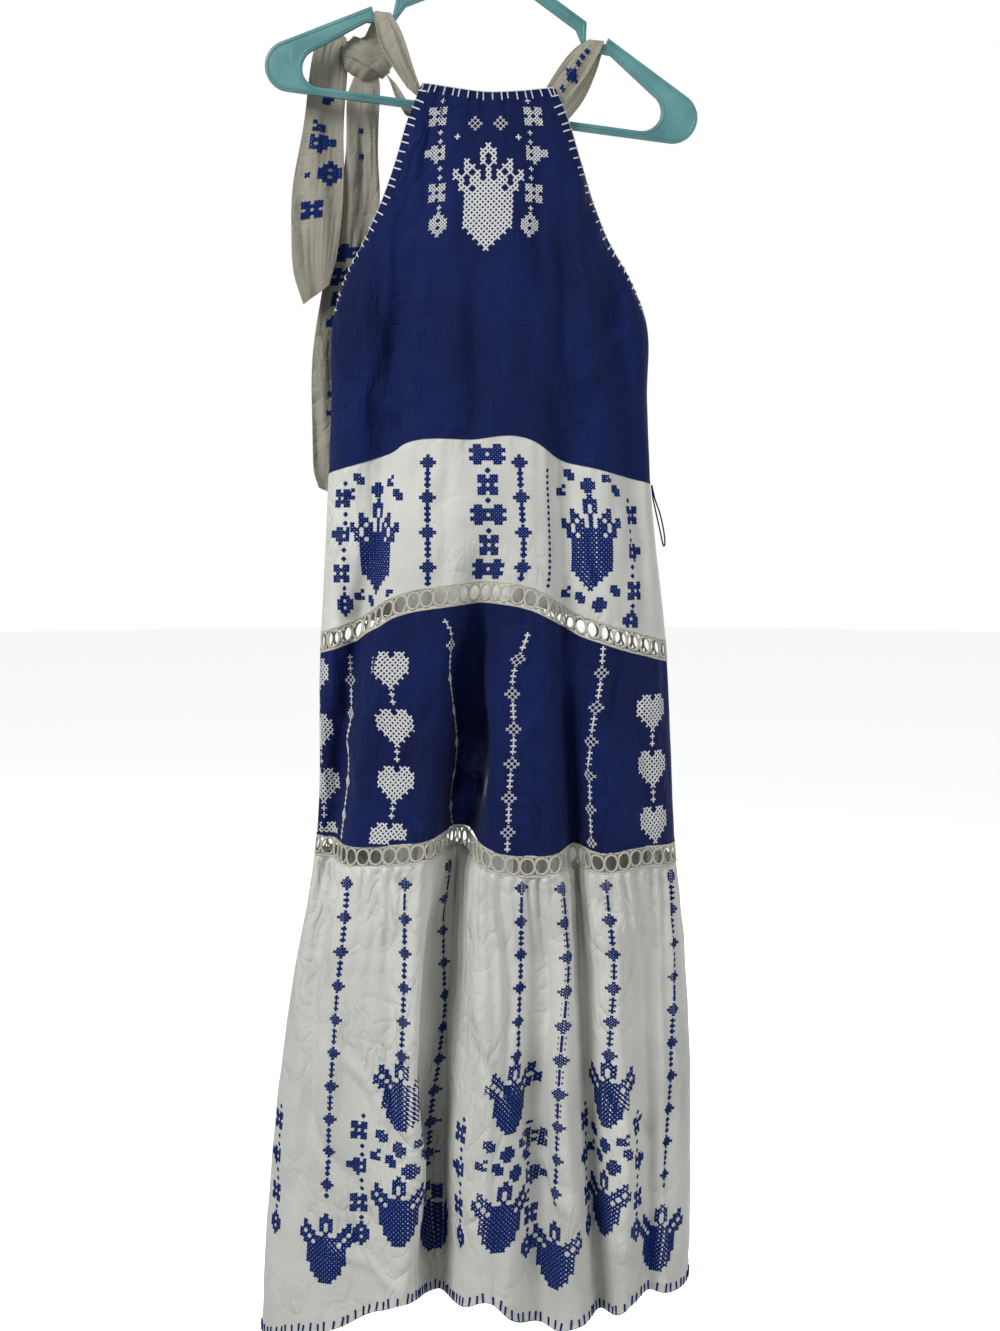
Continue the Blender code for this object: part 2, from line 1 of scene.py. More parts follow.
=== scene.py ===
import math

import bpy
import numpy as np
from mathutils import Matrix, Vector


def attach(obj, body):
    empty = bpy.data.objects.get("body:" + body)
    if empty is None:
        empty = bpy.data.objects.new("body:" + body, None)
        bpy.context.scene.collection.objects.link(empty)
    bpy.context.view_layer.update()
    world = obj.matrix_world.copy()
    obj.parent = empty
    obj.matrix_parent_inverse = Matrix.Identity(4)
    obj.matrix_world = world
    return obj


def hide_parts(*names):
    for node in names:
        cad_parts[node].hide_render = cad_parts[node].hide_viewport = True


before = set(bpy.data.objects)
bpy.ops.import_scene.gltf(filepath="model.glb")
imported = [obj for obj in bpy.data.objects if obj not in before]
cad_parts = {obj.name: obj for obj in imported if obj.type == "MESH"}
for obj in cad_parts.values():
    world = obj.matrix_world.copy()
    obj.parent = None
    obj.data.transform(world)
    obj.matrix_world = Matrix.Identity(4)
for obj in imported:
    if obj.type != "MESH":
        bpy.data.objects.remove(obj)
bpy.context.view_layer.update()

front, back = -1.0, 1.0
sideNames = {front: "front", back: "back"}
seamGap = 0.0003
laceHeight = 0.0205


def table(columns, *rows):
    return {name: np.array(values) for name, values in zip(columns.split(), zip(*rows))}


def rowsOf(columns):  # a table's rows, each value by its column's name
    return [dict(zip(columns, row)) for row in zip(*columns.values())]


def runAlong(points):  # how far along a line each of its points lies
    return np.concatenate([[0], np.cumsum(np.linalg.norm(np.diff(points, axis=0), axis=1))])


# the hanging form of the dress, the same tables as its solids have

sections = table(
    "z centre halfWidth front back frontEdge backEdge",
    (-0.190, 0.000, 0.0650, 0.030, 0.026, 0.0180, 0.0170),
    (-0.226, 0.000, 0.0800, 0.034, 0.029, 0.0165, 0.0155),
    (-0.265, 0.000, 0.0925, 0.039, 0.033, 0.0145, 0.0135),
    (-0.304, -0.001, 0.1060, 0.044, 0.036, 0.0120, 0.0110),
    (-0.343, -0.002, 0.1235, 0.049, 0.039, 0.0085, 0.0080),
    (-0.377, -0.001, 0.1430, 0.053, 0.042, 0.0045, 0.0040),
    (-0.416, 0.001, 0.1580, 0.057, 0.045, 0.0, 0.0),
    (-0.500, 0.001, 0.1615, 0.062, 0.048, 0.0, 0.0),
    (-0.580, 0.001, 0.1650, 0.066, 0.052, 0.0, 0.0),
    (-0.750, 0.005, 0.1790, 0.078, 0.060, 0.0, 0.0),
    (-0.965, 0.007, 0.1890, 0.090, 0.070, 0.0, 0.0),
    (-1.130, 0.000, 0.2110, 0.100, 0.080, 0.0, 0.0),
    (-1.300, -0.008, 0.2240, 0.108, 0.087, 0.0, 0.0),
    (-1.490, -0.016, 0.2300, 0.114, 0.092, 0.0, 0.0),
)
sectionFlatness = 0.9

lineColumns = "x front back"
lines = {
    "neck": table(
        lineColumns,
        (-0.0700, -0.1900, -0.2030),
        (-0.0275, -0.1980, -0.2105),
        (0.0000, -0.2015, -0.2140),
        (0.0320, -0.2000, -0.2125),
        (0.0680, -0.1950, -0.2075),
    ),
    "waist": table(
        lineColumns,
        (-0.163, -0.5750, -0.5750),
        (-0.103, -0.5570, -0.5620),
        (-0.085, -0.5480, -0.5590),
        (-0.018, -0.5435, -0.5520),
        (0.050, -0.5470, -0.5560),
        (0.066, -0.5590, -0.5580),
        (0.112, -0.5730, -0.5710),
        (0.165, -0.5860, -0.5860),
    ),
    "lace_1": table(
        lineColumns,
        (-0.174, -0.7495, -0.7495),
        (-0.125, -0.7290, -0.7370),
        (-0.105, -0.7150, -0.7320),
        (-0.040, -0.6980, -0.7220),
        (0.010, -0.6950, -0.7180),
        (0.060, -0.7090, -0.7270),
        (0.078, -0.7210, -0.7310),
        (0.119, -0.7370, -0.7420),
        (0.184, -0.7580, -0.7580),
    ),
    "lace_2": table(
        lineColumns,
        (-0.182, -0.9620, -0.9620),
        (-0.149, -0.9640, -0.9630),
        (-0.080, -0.9570, -0.9650),
        (-0.036, -0.9510, -0.9660),
        (-0.012, -0.9580, -0.9680),
        (0.010, -0.9640, -0.9690),
        (0.062, -0.9670, -0.9680),
        (0.084, -0.9640, -0.9670),
        (0.120, -0.9680, -0.9660),
        (0.153, -0.9650, -0.9660),
        (0.196, -0.9690, -0.9690),
    ),
    "hem": table(
        lineColumns,
        (-0.247, -1.4950, -1.4950),
        (-0.200, -1.4660, -1.4760),
        (-0.149, -1.4480, -1.4620),
        (-0.113, -1.4270, -1.4560),
        (-0.079, -1.4170, -1.4520),
        (-0.053, -1.4380, -1.4490),
        (-0.027, -1.4200, -1.4460),
        (0.000, -1.4110, -1.4450),
        (0.025, -1.4320, -1.4460),
        (0.064, -1.4470, -1.4480),
        (0.105, -1.4420, -1.4450),
        (0.118, -1.4460, -1.4430),
        (0.153, -1.4280, -1.4380),
        (0.213, -1.4330, -1.4330),
    ),
}

foldColumns = "xTop zTop xLow zLow bend zDeep zFade depth left right"
folds = {
    front: table(
        foldColumns,
        (-0.084, -0.235, -0.120, -0.720, 1.0, -0.420, -0.720, 0.017, 0.022, 0.011),
        (-0.122, -0.640, -0.190, -1.180, 1.0, -0.780, -0.930, 0.032, 0.016, 0.012),
        (0.002, -0.585, -0.053, -1.480, 1.6, -0.900, -1.490, 0.082, 0.018, 0.018),
        (0.066, -0.440, 0.079, -0.790, 1.0, -0.570, -0.720, 0.022, 0.010, 0.022),
        (0.076, -0.690, 0.120, -1.470, 0.8, -0.860, -1.490, 0.040, 0.012, 0.013),
        (0.116, -0.300, 0.160, -0.760, 1.0, -0.440, -0.640, 0.014, 0.013, 0.012),
        (0.042, -0.960, 0.052, -1.480, 1.0, -1.160, -1.490, 0.024, 0.019, 0.017),
        (0.160, -0.930, 0.168, -1.480, 1.0, -1.080, -1.490, 0.018, 0.011, 0.012),
        (-0.128, -1.000, -0.132, -1.480, 1.0, -1.250, -1.490, 0.010, 0.026, 0.024),
    ),
    back: table(
        foldColumns,
        (-0.075, -0.260, -0.104, -0.800, 1.0, -0.450, -0.700, 0.012, 0.017, 0.015),
        (-0.100, -0.720, -0.150, -1.480, 1.0, -0.930, -1.490, 0.036, 0.015, 0.015),
        (-0.026, -0.950, -0.040, -1.480, 1.0, -1.180, -1.490, 0.026, 0.018, 0.018),
        (0.014, -0.560, 0.034, -1.480, 1.0, -0.890, -1.490, 0.044, 0.016, 0.018),
        (0.086, -0.300, 0.098, -0.820, 1.0, -0.480, -0.720, 0.013, 0.015, 0.017),
        (0.094, -0.740, 0.135, -1.480, 1.0, -0.940, -1.490, 0.034, 0.014, 0.014),
    ),
}

# smaller creases, listed one by one: a line from (x0, z0) to (x1, z1), its width and its
# height, where a positive one stands out and a negative one sinks in
creaseColumns = "x0 z0 x1 z1 width height"
creases = {
    front: table(
        creaseColumns,
        # bodice front
        (-0.058, -0.215, -0.066, -0.330, 0.006, -0.0022),
        (-0.030, -0.230, -0.036, -0.520, 0.011, 0.0022),
        (0.046, -0.225, 0.060, -0.420, 0.008, -0.0024),
        (0.020, -0.260, 0.026, -0.500, 0.013, 0.0020),
        (-0.130, -0.420, -0.060, -0.520, 0.009, 0.0022),
        (-0.145, -0.470, -0.085, -0.545, 0.007, -0.0020),
        (0.140, -0.430, 0.075, -0.500, 0.008, 0.0022),
        (0.128, -0.395, 0.098, -0.540, 0.008, -0.0022),
        (0.086, -0.270, 0.094, -0.430, 0.007, 0.0022),
        (-0.096, -0.330, -0.108, -0.540, 0.007, 0.0020),
        (-0.012, -0.420, -0.016, -0.545, 0.008, -0.0014),
        (-0.076, -0.310, -0.100, -0.560, 0.011, -0.0056),
        (-0.118, -0.400, -0.124, -0.560, 0.010, 0.0026),
        (0.070, -0.330, 0.090, -0.560, 0.010, -0.0050),
        (-0.012, -0.380, -0.010, -0.560, 0.009, -0.0024),
        # the deep folds that run down from the waist
        (-0.014, -0.725, -0.022, -0.950, 0.013, -0.0095),
        (0.012, -0.745, 0.010, -0.940, 0.010, 0.0035),
        (-0.052, -0.985, -0.062, -1.420, 0.009, -0.0105),
        (-0.030, -0.990, -0.038, -1.360, 0.010, 0.0040),
        (0.048, -0.985, 0.052, -1.330, 0.010, -0.0070),
        # tier 1 front
        (-0.060, -0.560, -0.070, -0.690, 0.010, 0.0026),
        (-0.040, -0.565, -0.046, -0.685, 0.006, -0.0020),
        (0.035, -0.570, 0.046, -0.690, 0.008, 0.0024),
        (0.096, -0.600, 0.110, -0.720, 0.007, -0.0024),
        (0.136, -0.600, 0.150, -0.730, 0.008, 0.0026),
        (-0.140, -0.600, -0.146, -0.730, 0.007, -0.0022),
        # tier 2 front
        (-0.108, -0.760, -0.128, -0.900, 0.009, 0.0032),
        (-0.070, -0.740, -0.060, -0.930, 0.010, 0.0028),
        (-0.050, -0.800, -0.092, -0.880, 0.006, -0.0020),
        (-0.155, -0.800, -0.120, -0.930, 0.006, 0.0020),
        (0.034, -0.730, 0.044, -0.940, 0.011, 0.0030),
        (0.020, -0.770, 0.062, -0.850, 0.005, -0.0020),
        (0.060, -0.780, 0.020, -0.900, 0.006, 0.0018),
        (0.110, -0.770, 0.128, -0.940, 0.009, 0.0030),
        (0.136, -0.770, 0.108, -0.850, 0.005, -0.0018),
        (0.150, -0.790, 0.166, -0.930, 0.007, -0.0028),
        (0.094, -0.860, 0.140, -0.920, 0.005, 0.0018),
        # tier 3 front
        (-0.175, -1.010, -0.198, -1.340, 0.009, -0.0045),
        (-0.150, -1.000, -0.160, -1.250, 0.009, 0.0040),
        (-0.105, -1.000, -0.100, -1.300, 0.008, -0.0042),
        (-0.082, -1.000, -0.070, -1.350, 0.009, 0.0040),
        (-0.150, -1.160, -0.090, -1.240, 0.006, 0.0022),
        (-0.190, -1.230, -0.120, -1.330, 0.007, -0.0024),
        (-0.170, -1.360, -0.085, -1.400, 0.007, 0.0024),
        (-0.006, -1.000, -0.002, -1.380, 0.008, 0.0042),
        (0.020, -1.010, 0.022, -1.200, 0.006, -0.0036),
        (-0.016, -1.140, 0.030, -1.210, 0.006, -0.0022),
        (0.072, -1.000, 0.082, -1.380, 0.009, 0.0040),
        (0.034, -1.250, 0.090, -1.330, 0.006, 0.0022),
        (0.128, -1.010, 0.142, -1.380, 0.008, 0.0040),
        (0.182, -1.010, 0.194, -1.400, 0.008, -0.0036),
        (0.118, -1.200, 0.175, -1.270, 0.006, -0.0022),
    ),
    back: table(
        creaseColumns,
        (-0.040, -0.230, -0.052, -0.480, 0.010, 0.0024),
        (0.034, -0.235, 0.042, -0.500, 0.011, 0.0022),
        (-0.010, -0.300, -0.014, -0.530, 0.009, -0.0020),
        (0.130, -0.420, 0.070, -0.510, 0.008, 0.0022),
        (-0.132, -0.420, -0.078, -0.520, 0.008, -0.0022),
        (-0.060, -0.580, -0.074, -0.710, 0.008, 0.0026),
        (0.050, -0.580, 0.060, -0.710, 0.008, -0.0024),
        (0.116, -0.600, 0.130, -0.730, 0.008, 0.0024),
        (-0.064, -0.760, -0.088, -0.930, 0.010, 0.0032),
        (-0.020, -0.770, -0.050, -0.850, 0.006, -0.0022),
        (0.064, -0.760, 0.070, -0.930, 0.010, 0.0030),
        (0.144, -0.780, 0.160, -0.940, 0.008, -0.0028),
        (0.030, -0.840, 0.078, -0.910, 0.006, 0.0020),
        (-0.190, -1.010, -0.210, -1.380, 0.009, -0.0042),
        (-0.110, -1.010, -0.104, -1.300, 0.009, 0.0040),
        (-0.070, -1.000, -0.084, -1.360, 0.008, -0.0038),
        (0.000, -1.010, -0.002, -1.300, 0.009, 0.0040),
        (0.076, -1.000, 0.084, -1.380, 0.009, 0.0040),
        (0.170, -1.010, 0.182, -1.360, 0.009, -0.0040),
        (-0.160, -1.180, -0.100, -1.260, 0.006, 0.0022),
        (0.090, -1.220, 0.020, -1.310, 0.006, -0.0024),
        (0.180, -1.250, 0.120, -1.330, 0.006, 0.0022),
    ),
}


def ease(t):
    t = np.clip(t, 0.0, 1.0)
    return t * t * (3.0 - 2.0 * t)


def softCurve(at, knots, values):  # a smooth curve through a short table's points
    order = np.argsort(knots)
    k, v = knots[order], values[order]
    slope = np.gradient(v, k)
    i = np.clip(np.searchsorted(k, at) - 1, 0, len(k) - 2)
    span = k[i + 1] - k[i]
    t = np.clip((at - k[i]) / span, 0.0, 1.0)
    rise = (2 * t**3 - 3 * t**2 + 1) * v[i] + (3 * t**2 - 2 * t**3) * v[i + 1]
    bend = (t**3 - 2 * t**2 + t) * slope[i] + (t**3 - t**2) * slope[i + 1]
    return rise + span * bend


def foldDepth(side, x, z):
    push = np.zeros(np.broadcast(x, z).shape)
    for fold in rowsOf(folds[side]):
        down = np.clip((fold["zTop"] - z) / (fold["zTop"] - fold["zLow"]), 0.0, 1.0)
        path = fold["xLow"] + (fold["xTop"] - fold["xLow"]) * (1 - down) ** fold["bend"]
        grow = ease((fold["zTop"] - z) / (fold["zTop"] - fold["zDeep"]))
        fade = 1 - ease((fold["zFade"] - z) / max(fold["zFade"] - fold["zLow"], 0.02))
        reach = np.where(x < path, fold["left"], fold["right"])
        push += fold["depth"] * grow * fade * np.exp(-(((x - path) / reach) ** 2))
    return push


def sectionPoints(side, angle, z):
    name = sideNames[side]
    centre = softCurve(z, sections["z"], sections["centre"])
    half = softCurve(z, sections["z"], sections["halfWidth"])
    depth = softCurve(z, sections["z"], sections[name])
    edge = np.maximum(softCurve(z, sections["z"], sections[name + "Edge"]), 0.0) + seamGap / 2
    x = centre - half * np.cos(angle)
    bow = np.maximum(np.sin(angle), 0.0) ** sectionFlatness
    inward = foldDepth(side, x, z) * np.minimum(1.0, 4 * bow)
    return x, side * (edge + (depth - edge) * bow - inward)


sampling = dict(lowZ=-1.530, topZ=-0.170, levels=400, stations=601)


def between(grid, row, col):  # a grid's value between its rows and columns
    r = np.clip(row.astype(int), 0, grid.shape[0] - 2)
    c = np.clip(col.astype(int), 0, grid.shape[1] - 2)
    fr, fc = row - r, col - c
    if grid.ndim > 2:
        fr, fc = fr[..., None], fc[..., None]
    low = grid[r, c] * (1 - fc) + grid[r, c + 1] * fc
    high = grid[r + 1, c] * (1 - fc) + grid[r + 1, c + 1] * fc
    return low * (1 - fr) + high * fr


class Cloth:
    # the form of one side, sampled once: stations are even shares of the way round
    def __init__(self, side):
        self.levels = np.linspace(sampling["lowZ"], sampling["topZ"], sampling["levels"])
        self.shares = np.linspace(0.0, 1.0, sampling["stations"])
        angles = np.linspace(0.0, math.pi, sampling["stations"])
        self.x = np.empty((len(self.levels), len(self.shares)))
        self.y = np.empty_like(self.x)
        self.length = np.empty(len(self.levels))
        for i, level in enumerate(self.levels):
            x, y = sectionPoints(side, angles, np.full_like(angles, level))
            run = np.concatenate([[0.0], np.cumsum(np.hypot(np.diff(x), np.diff(y)))])
            self.length[i] = run[-1]
            self.x[i] = np.interp(self.shares * run[-1], run, x)
            self.y[i] = np.interp(self.shares * run[-1], run, y)
        slopeX, slopeY = np.gradient(self.x, axis=1), np.gradient(self.y, axis=1)
        size = np.hypot(slopeX, slopeY)
        self.normalX, self.normalY = -side * slopeY / size, side * slopeX / size

    def at(self, u, z):  # x and y at share u on level z, and the way out there
        u, z = np.broadcast_arrays(np.asarray(u, float), np.asarray(z, float))
        row = (z - self.levels[0]) / (self.levels[1] - self.levels[0])
        row = np.clip(row, 0, len(self.levels) - 1.001)
        col = np.clip(u * (len(self.shares) - 1), 0, len(self.shares) - 1.001)
        grids = (self.x, self.y, self.normalX, self.normalY)
        x, y, nx, ny = (between(grid, row, col) for grid in grids)
        size = np.hypot(nx, ny)
        return x, y, nx / size, ny / size

    def width(self, z):
        return np.interp(z, self.levels, self.length)


print("scene: sampling the hanging form")
cloths = {side: Cloth(side) for side in sideNames}


def lineHeight(name, side, u):
    line = lines[name]
    heights = line[sideNames[side]]
    x = cloths[side].at(u, np.full(np.shape(u), heights.mean()))[0]
    return softCurve(x, line["x"], heights)


# the creases' heights are multiplied by these; one that starts above bodiceEnds is the bodice's
creaseStrength = dict(bodice=2.0, tiers=1.5, bodiceEnds=-0.54)


def creaseLift(side, x, z):
    lift = np.zeros(np.broadcast(x, z).shape)
    for c in rowsOf(creases[side]):
        dx, dz = c["x1"] - c["x0"], c["z1"] - c["z0"]
        long = math.hypot(dx, dz)
        along = ((x - c["x0"]) * dx + (z - c["z0"]) * dz) / long**2
        off = ((x - c["x0"]) * dz - (z - c["z0"]) * dx) / long
        wander = 0.35 * c["width"] * np.sin(9.0 * along + 40.0 * c["x0"])
        ends = ease((along + 0.15) / 0.4) * ease((1.15 - along) / 0.4)
        part = "bodice" if c["z0"] > creaseStrength["bodiceEnds"] else "tiers"
        ridge = np.exp(-(((off - wander) / c["width"]) ** 2))
        lift += c["height"] * creaseStrength[part] * ends * ridge
    return lift


# gathers under each seam: how many, how high, how far they run, and how unevenly
gatherings = {
    "bodice": dict(waves=9, fineWaves=16, height=0.0015, grows=0.0001, reach=0.040, unlike=0.5),
    "tier_1": dict(waves=17, fineWaves=34, height=0.0011, grows=0.0040, reach=0.030, unlike=0.6),
    "tier_2": dict(waves=28, fineWaves=43, height=0.0015, grows=0.0040, reach=0.045, unlike=0.6),
    "tier_3": dict(waves=42, fineWaves=61, height=0.0038, grows=0.0060, reach=0.085, unlike=0.7),
}


fineGather = 0.0009  # height of the small pleats right under the seam
mostPleats = 200


def gatherLift(kind, side, u, below):
    g = gatherings[kind]
    below = np.maximum(below, 0.0)
    local = np.random.default_rng(len(kind) * 17 + ord(kind[-1]) + int(side))
    uneven = 0.22 * np.sin(2 * math.pi * 5.3 * u + side)
    phase = u * g["waves"] + uneven + 0.10 * np.sin(2 * math.pi * 13.1 * u)
    pleat = np.floor(phase).astype(int) % (mostPleats - 1)
    nextPleat = (pleat + 1) % (mostPleats - 1)
    part = ease(phase - np.floor(phase))
    sizes = 1.0 - g["unlike"] * local.random(mostPleats)
    reaches = g["reach"] * (0.45 + 1.25 * local.random(mostPleats))
    size = sizes[pleat] * (1 - part) + sizes[nextPleat] * part
    reach = reaches[pleat] * (1 - part) + reaches[nextPleat] * part
    atSide = np.clip(np.minimum(u, 1 - u) / 0.03, 0.0, 1.0)
    fall = ease(below / g["grows"]) * np.exp(-((below / reach) ** 1.5))
    wave = np.cos(2 * math.pi * phase)
    wave = np.where(wave > 0, np.abs(wave) ** 1.4, -np.abs(wave) ** 0.8)
    fine = np.sin(2 * math.pi * (g["fineWaves"] * u + 0.3 * np.sin(2 * math.pi * 7.7 * u + side)))
    fine = fine * (0.6 + 0.4 * np.sin(2 * math.pi * 3.1 * u))
    fine = fine * ease(below / 0.003) * np.exp(-below / 0.022)
    return atSide * (g["height"] * size * fall * wave + fineGather * fine)


def rumple(side, x, z, scale):  # soft unevenness that is different everywhere
    a = np.sin(41.0 * x + 17.0 * z + 2.0 * side) * np.sin(23.0 * z - 31.0 * x + 1.0)
    b = np.sin(95.0 * x - 38.0 * z + 0.6) * np.sin(57.0 * z + 44.0 * x + side)
    c = np.sin(180.0 * x + 66.0 * z) * np.sin(104.0 * z - 130.0 * x + 2.2)
    return scale * (0.55 * a + 0.30 * b + 0.15 * c)


def clothPoint(kind, side, u, z, topZ, lift=0.0):  # a place on the finished cloth, and its normal
    cloth = cloths[side]
    x, y, nx, ny = cloth.at(u, z)
    fadeSide = np.clip(np.minimum(u, 1 - u) / 0.025, 0.0, 1.0)
    off = gatherLift(kind, side, u, topZ - z)
    off = off + fadeSide * (creaseLift(side, x, z) + rumple(side, x, z, rumples[kind])) + lift
    return np.stack([x + nx * off, y + ny * off, z], axis=-1), np.stack([nx, ny, 0 * nx], axis=-1)


rumples = {"bodice": 0.0009, "tier_1": 0.0010, "tier_2": 0.0014, "tier_3": 0.0022}

# each panel: its lines, how much of a lace band it stops short of, and its fineness
panels = {
    "bodice": dict(top="neck", low="waist", trims=(0.0, 0.0), cols=130, rows=100, finish="blueCotton"),
    "tier_1": dict(top="waist", low="lace_1", trims=(0.0, 0.5), cols=170, rows=50, finish="whiteCotton"),
    "tier_2": dict(top="lace_1", low="lace_2", trims=(0.5, 0.5), cols=200, rows=72, finish="blueCotton"),
    "tier_3": dict(top="lace_2", low="hem", trims=(0.5, 0.0), cols=300, rows=120, finish="whiteCotton"),
}


def panelEdges(kind, side, u):
    p = panels[kind]
    topZ = lineHeight(p["top"], side, u) - seamGap / 2 - p["trims"][0] * laceHeight
    lowZ = lineHeight(p["low"], side, u) + seamGap / 2 + p["trims"][1] * laceHeight
    return topZ, lowZ


def onPanel(kind, side, u, z, lift=0.0):
    topZ, _ = panelEdges(kind, side, u)
    return clothPoint(kind, side, u, z, topZ, lift)


# small modelling helpers

def activate(obj):
    bpy.ops.object.select_all(action="DESELECT")
    obj.select_set(True)
    bpy.context.view_layer.objects.active = obj


def editAll(obj, operator, **values):  # one edit-mode operator over a whole mesh
    activate(obj)
    bpy.ops.object.mode_set(mode="EDIT")
    bpy.ops.mesh.select_all(action="SELECT")
    operator(**values)
    bpy.ops.object.mode_set(mode="OBJECT")
    return obj


def flipIn(obj):  # turns a grid whose faces point into the dress
    return editAll(obj, bpy.ops.mesh.flip_normals)


def outward(obj):
    return editAll(obj, bpy.ops.mesh.normals_make_consistent, inside=False)


def applyModifier(obj, kind, **values):
    activate(obj)
    mod = obj.modifiers.new(kind.title(), kind)
    for key, value in values.items():
        setattr(mod, key, value)
    bpy.ops.object.modifier_apply(modifier=mod.name)


def smooth(obj, degrees):
    activate(obj)
    bpy.ops.object.shade_smooth_by_angle(angle=math.radians(degrees))
    return obj


def gridPiece(name, points):  # a grid primitive moved to a table of points, rows by columns
    rows, cols = points.shape[:2]
    bpy.ops.object.select_all(action="DESELECT")
    bpy.ops.mesh.primitive_grid_add(x_subdivisions=cols - 1, y_subdivisions=rows - 1, size=1.0)
    obj = bpy.context.object
    obj.name = obj.data.name = name
    obj.data.vertices.foreach_set("co", points.reshape(-1).astype(np.float32))
    obj.data.update()
    return obj


def merged(shapes):  # the points and faces of many small shapes as one
    points, faces, first = [], [], 0
    for shapePoints, shapeFaces in shapes:
        points.append(shapePoints)
        faces += [tuple(v + first for v in face) for face in shapeFaces]
        first += len(shapePoints)
    return np.concatenate(points), faces


def meshPiece(name, points, faces):
    mesh = bpy.data.meshes.new(name)
    mesh.from_pydata(points.tolist(), [], faces)
    mesh.update()
    obj = bpy.data.objects.new(name, mesh)
    bpy.context.scene.collection.objects.link(obj)
    return obj


def setUv(obj, uv):  # uv holds one pair a vertex
    layer = obj.data.uv_layers.active or obj.data.uv_layers.new(name="cloth")
    corners = np.empty(len(obj.data.loops), dtype=np.int32)
    obj.data.loops.foreach_get("vertex_index", corners)
    layer.data.foreach_set("uv", uv[corners].reshape(-1).astype(np.float32))


def giveFinish(obj, finish):
    obj.data.materials.clear()
    obj.data.materials.append(finishes[finish])
    return obj


# finishes

def newGroup(name, inputs, outputs):
    group = bpy.data.node_groups.new(name, "ShaderNodeTree")
    for label, value in inputs.items():
        socket = group.interface.new_socket(label, in_out="INPUT", socket_type="NodeSocketFloat")
        socket.default_value = value
    for label in outputs:
        group.interface.new_socket(label, in_out="OUTPUT", socket_type="NodeSocketFloat")
    return group, group.nodes.new("NodeGroupInput"), group.nodes.new("NodeGroupOutput")


class Nodes:
    # short calls for wiring nodes in one tree
    def __init__(self, tree):
        self.tree = tree

    def plug(self, value, socket):
        if isinstance(value, bpy.types.NodeSocket):
            self.tree.links.new(value, socket)
        else:
            socket.default_value = value

    def math(self, operation, a, b=0.0):
        node = self.tree.nodes.new("ShaderNodeMath")
        node.operation = operation
        self.plug(a, node.inputs[0])
        self.plug(b, node.inputs[1])
        return node.outputs[0]

    def scaled(self, vector, scale):
        node = self.tree.nodes.new("ShaderNodeMapping")
        self.plug(vector, node.inputs["Vector"])
        node.inputs["Scale"].default_value = scale
        return node.outputs[0]

    def noise(self, vector, scale, detail=3.0, roughness=0.55):
        node = self.tree.nodes.new("ShaderNodeTexNoise")
        self.plug(vector, node.inputs["Vector"])
        node.inputs["Scale"].default_value = scale
        node.inputs["Detail"].default_value = detail
        node.inputs["Roughness"].default_value = roughness
        return node.outputs["Fac"]

    def remap(self, value, low, high, toLow=0.0, toHigh=1.0):
        node = self.tree.nodes.new("ShaderNodeMapRange")
        self.plug(value, node.inputs["Value"])
        ends = {"From Min": low, "From Max": high, "To Min": toLow, "To Max": toHigh}
        for label, number in ends.items():
            self.plug(number, node.inputs[label])
        return node.outputs[0]

    def blend(self, factor, a, b):  # from colour a to colour b
        node = self.tree.nodes.new("ShaderNodeMix")
        node.data_type = "RGBA"
        self.plug(factor, node.inputs[0])
        for value, socket in ((a, node.inputs[6]), (b, node.inputs[7])):
            self.plug((*value, 1.0) if isinstance(value, tuple) else value, socket)
        return node.outputs[2]

    def source(self, kind, socket):
        return self.tree.nodes.new(kind).outputs[socket]

    def group(self, tree, **values):
        node = self.tree.nodes.new("ShaderNodeGroup")
        node.node_tree = tree
        for label, value in values.items():
            self.plug(value, node.inputs[label])
        return node.outputs


def plainWeave():  # crossed threads with slubs, on a UV map that is in metres
    inputs = {"Threads": 1500.0, "Slub": 0.5}
    tree, given, put = newGroup("plainWeave", inputs, ("Height", "Slubs"))
    n = Nodes(tree)
    uv = n.source("ShaderNodeUVMap", "UV")
    split = tree.nodes.new("ShaderNodeSeparateXYZ")
    n.plug(uv, split.inputs[0])
    turns = n.math("MULTIPLY", given.outputs["Threads"], math.pi)
    across = n.math("SINE", n.math("MULTIPLY", split.outputs[0], turns))
    down = n.math("SINE", n.math("MULTIPLY", split.outputs[1], turns))
    threads = n.math("ADD", n.math("ABSOLUTE", across), n.math("ABSOLUTE", down))
    over = n.math("MULTIPLY", n.math("MULTIPLY", across, down), 0.5)
    warp = n.noise(n.scaled(uv, (900.0, 22.0, 1.0)), 1.0, 2.0)
    weft = n.noise(n.scaled(uv, (18.0, 1100.0, 1.0)), 1.0, 2.0)
    both = n.math("SUBTRACT", n.math("ADD", warp, weft), 1.0)
    slubs = n.math("MULTIPLY", both, given.outputs["Slub"])
    height = n.math("ADD", n.math("MULTIPLY", n.math("ADD", threads, over), 0.35), slubs)
    n.plug(height, put.inputs["Height"])
    n.plug(slubs, put.inputs["Slubs"])
    return tree


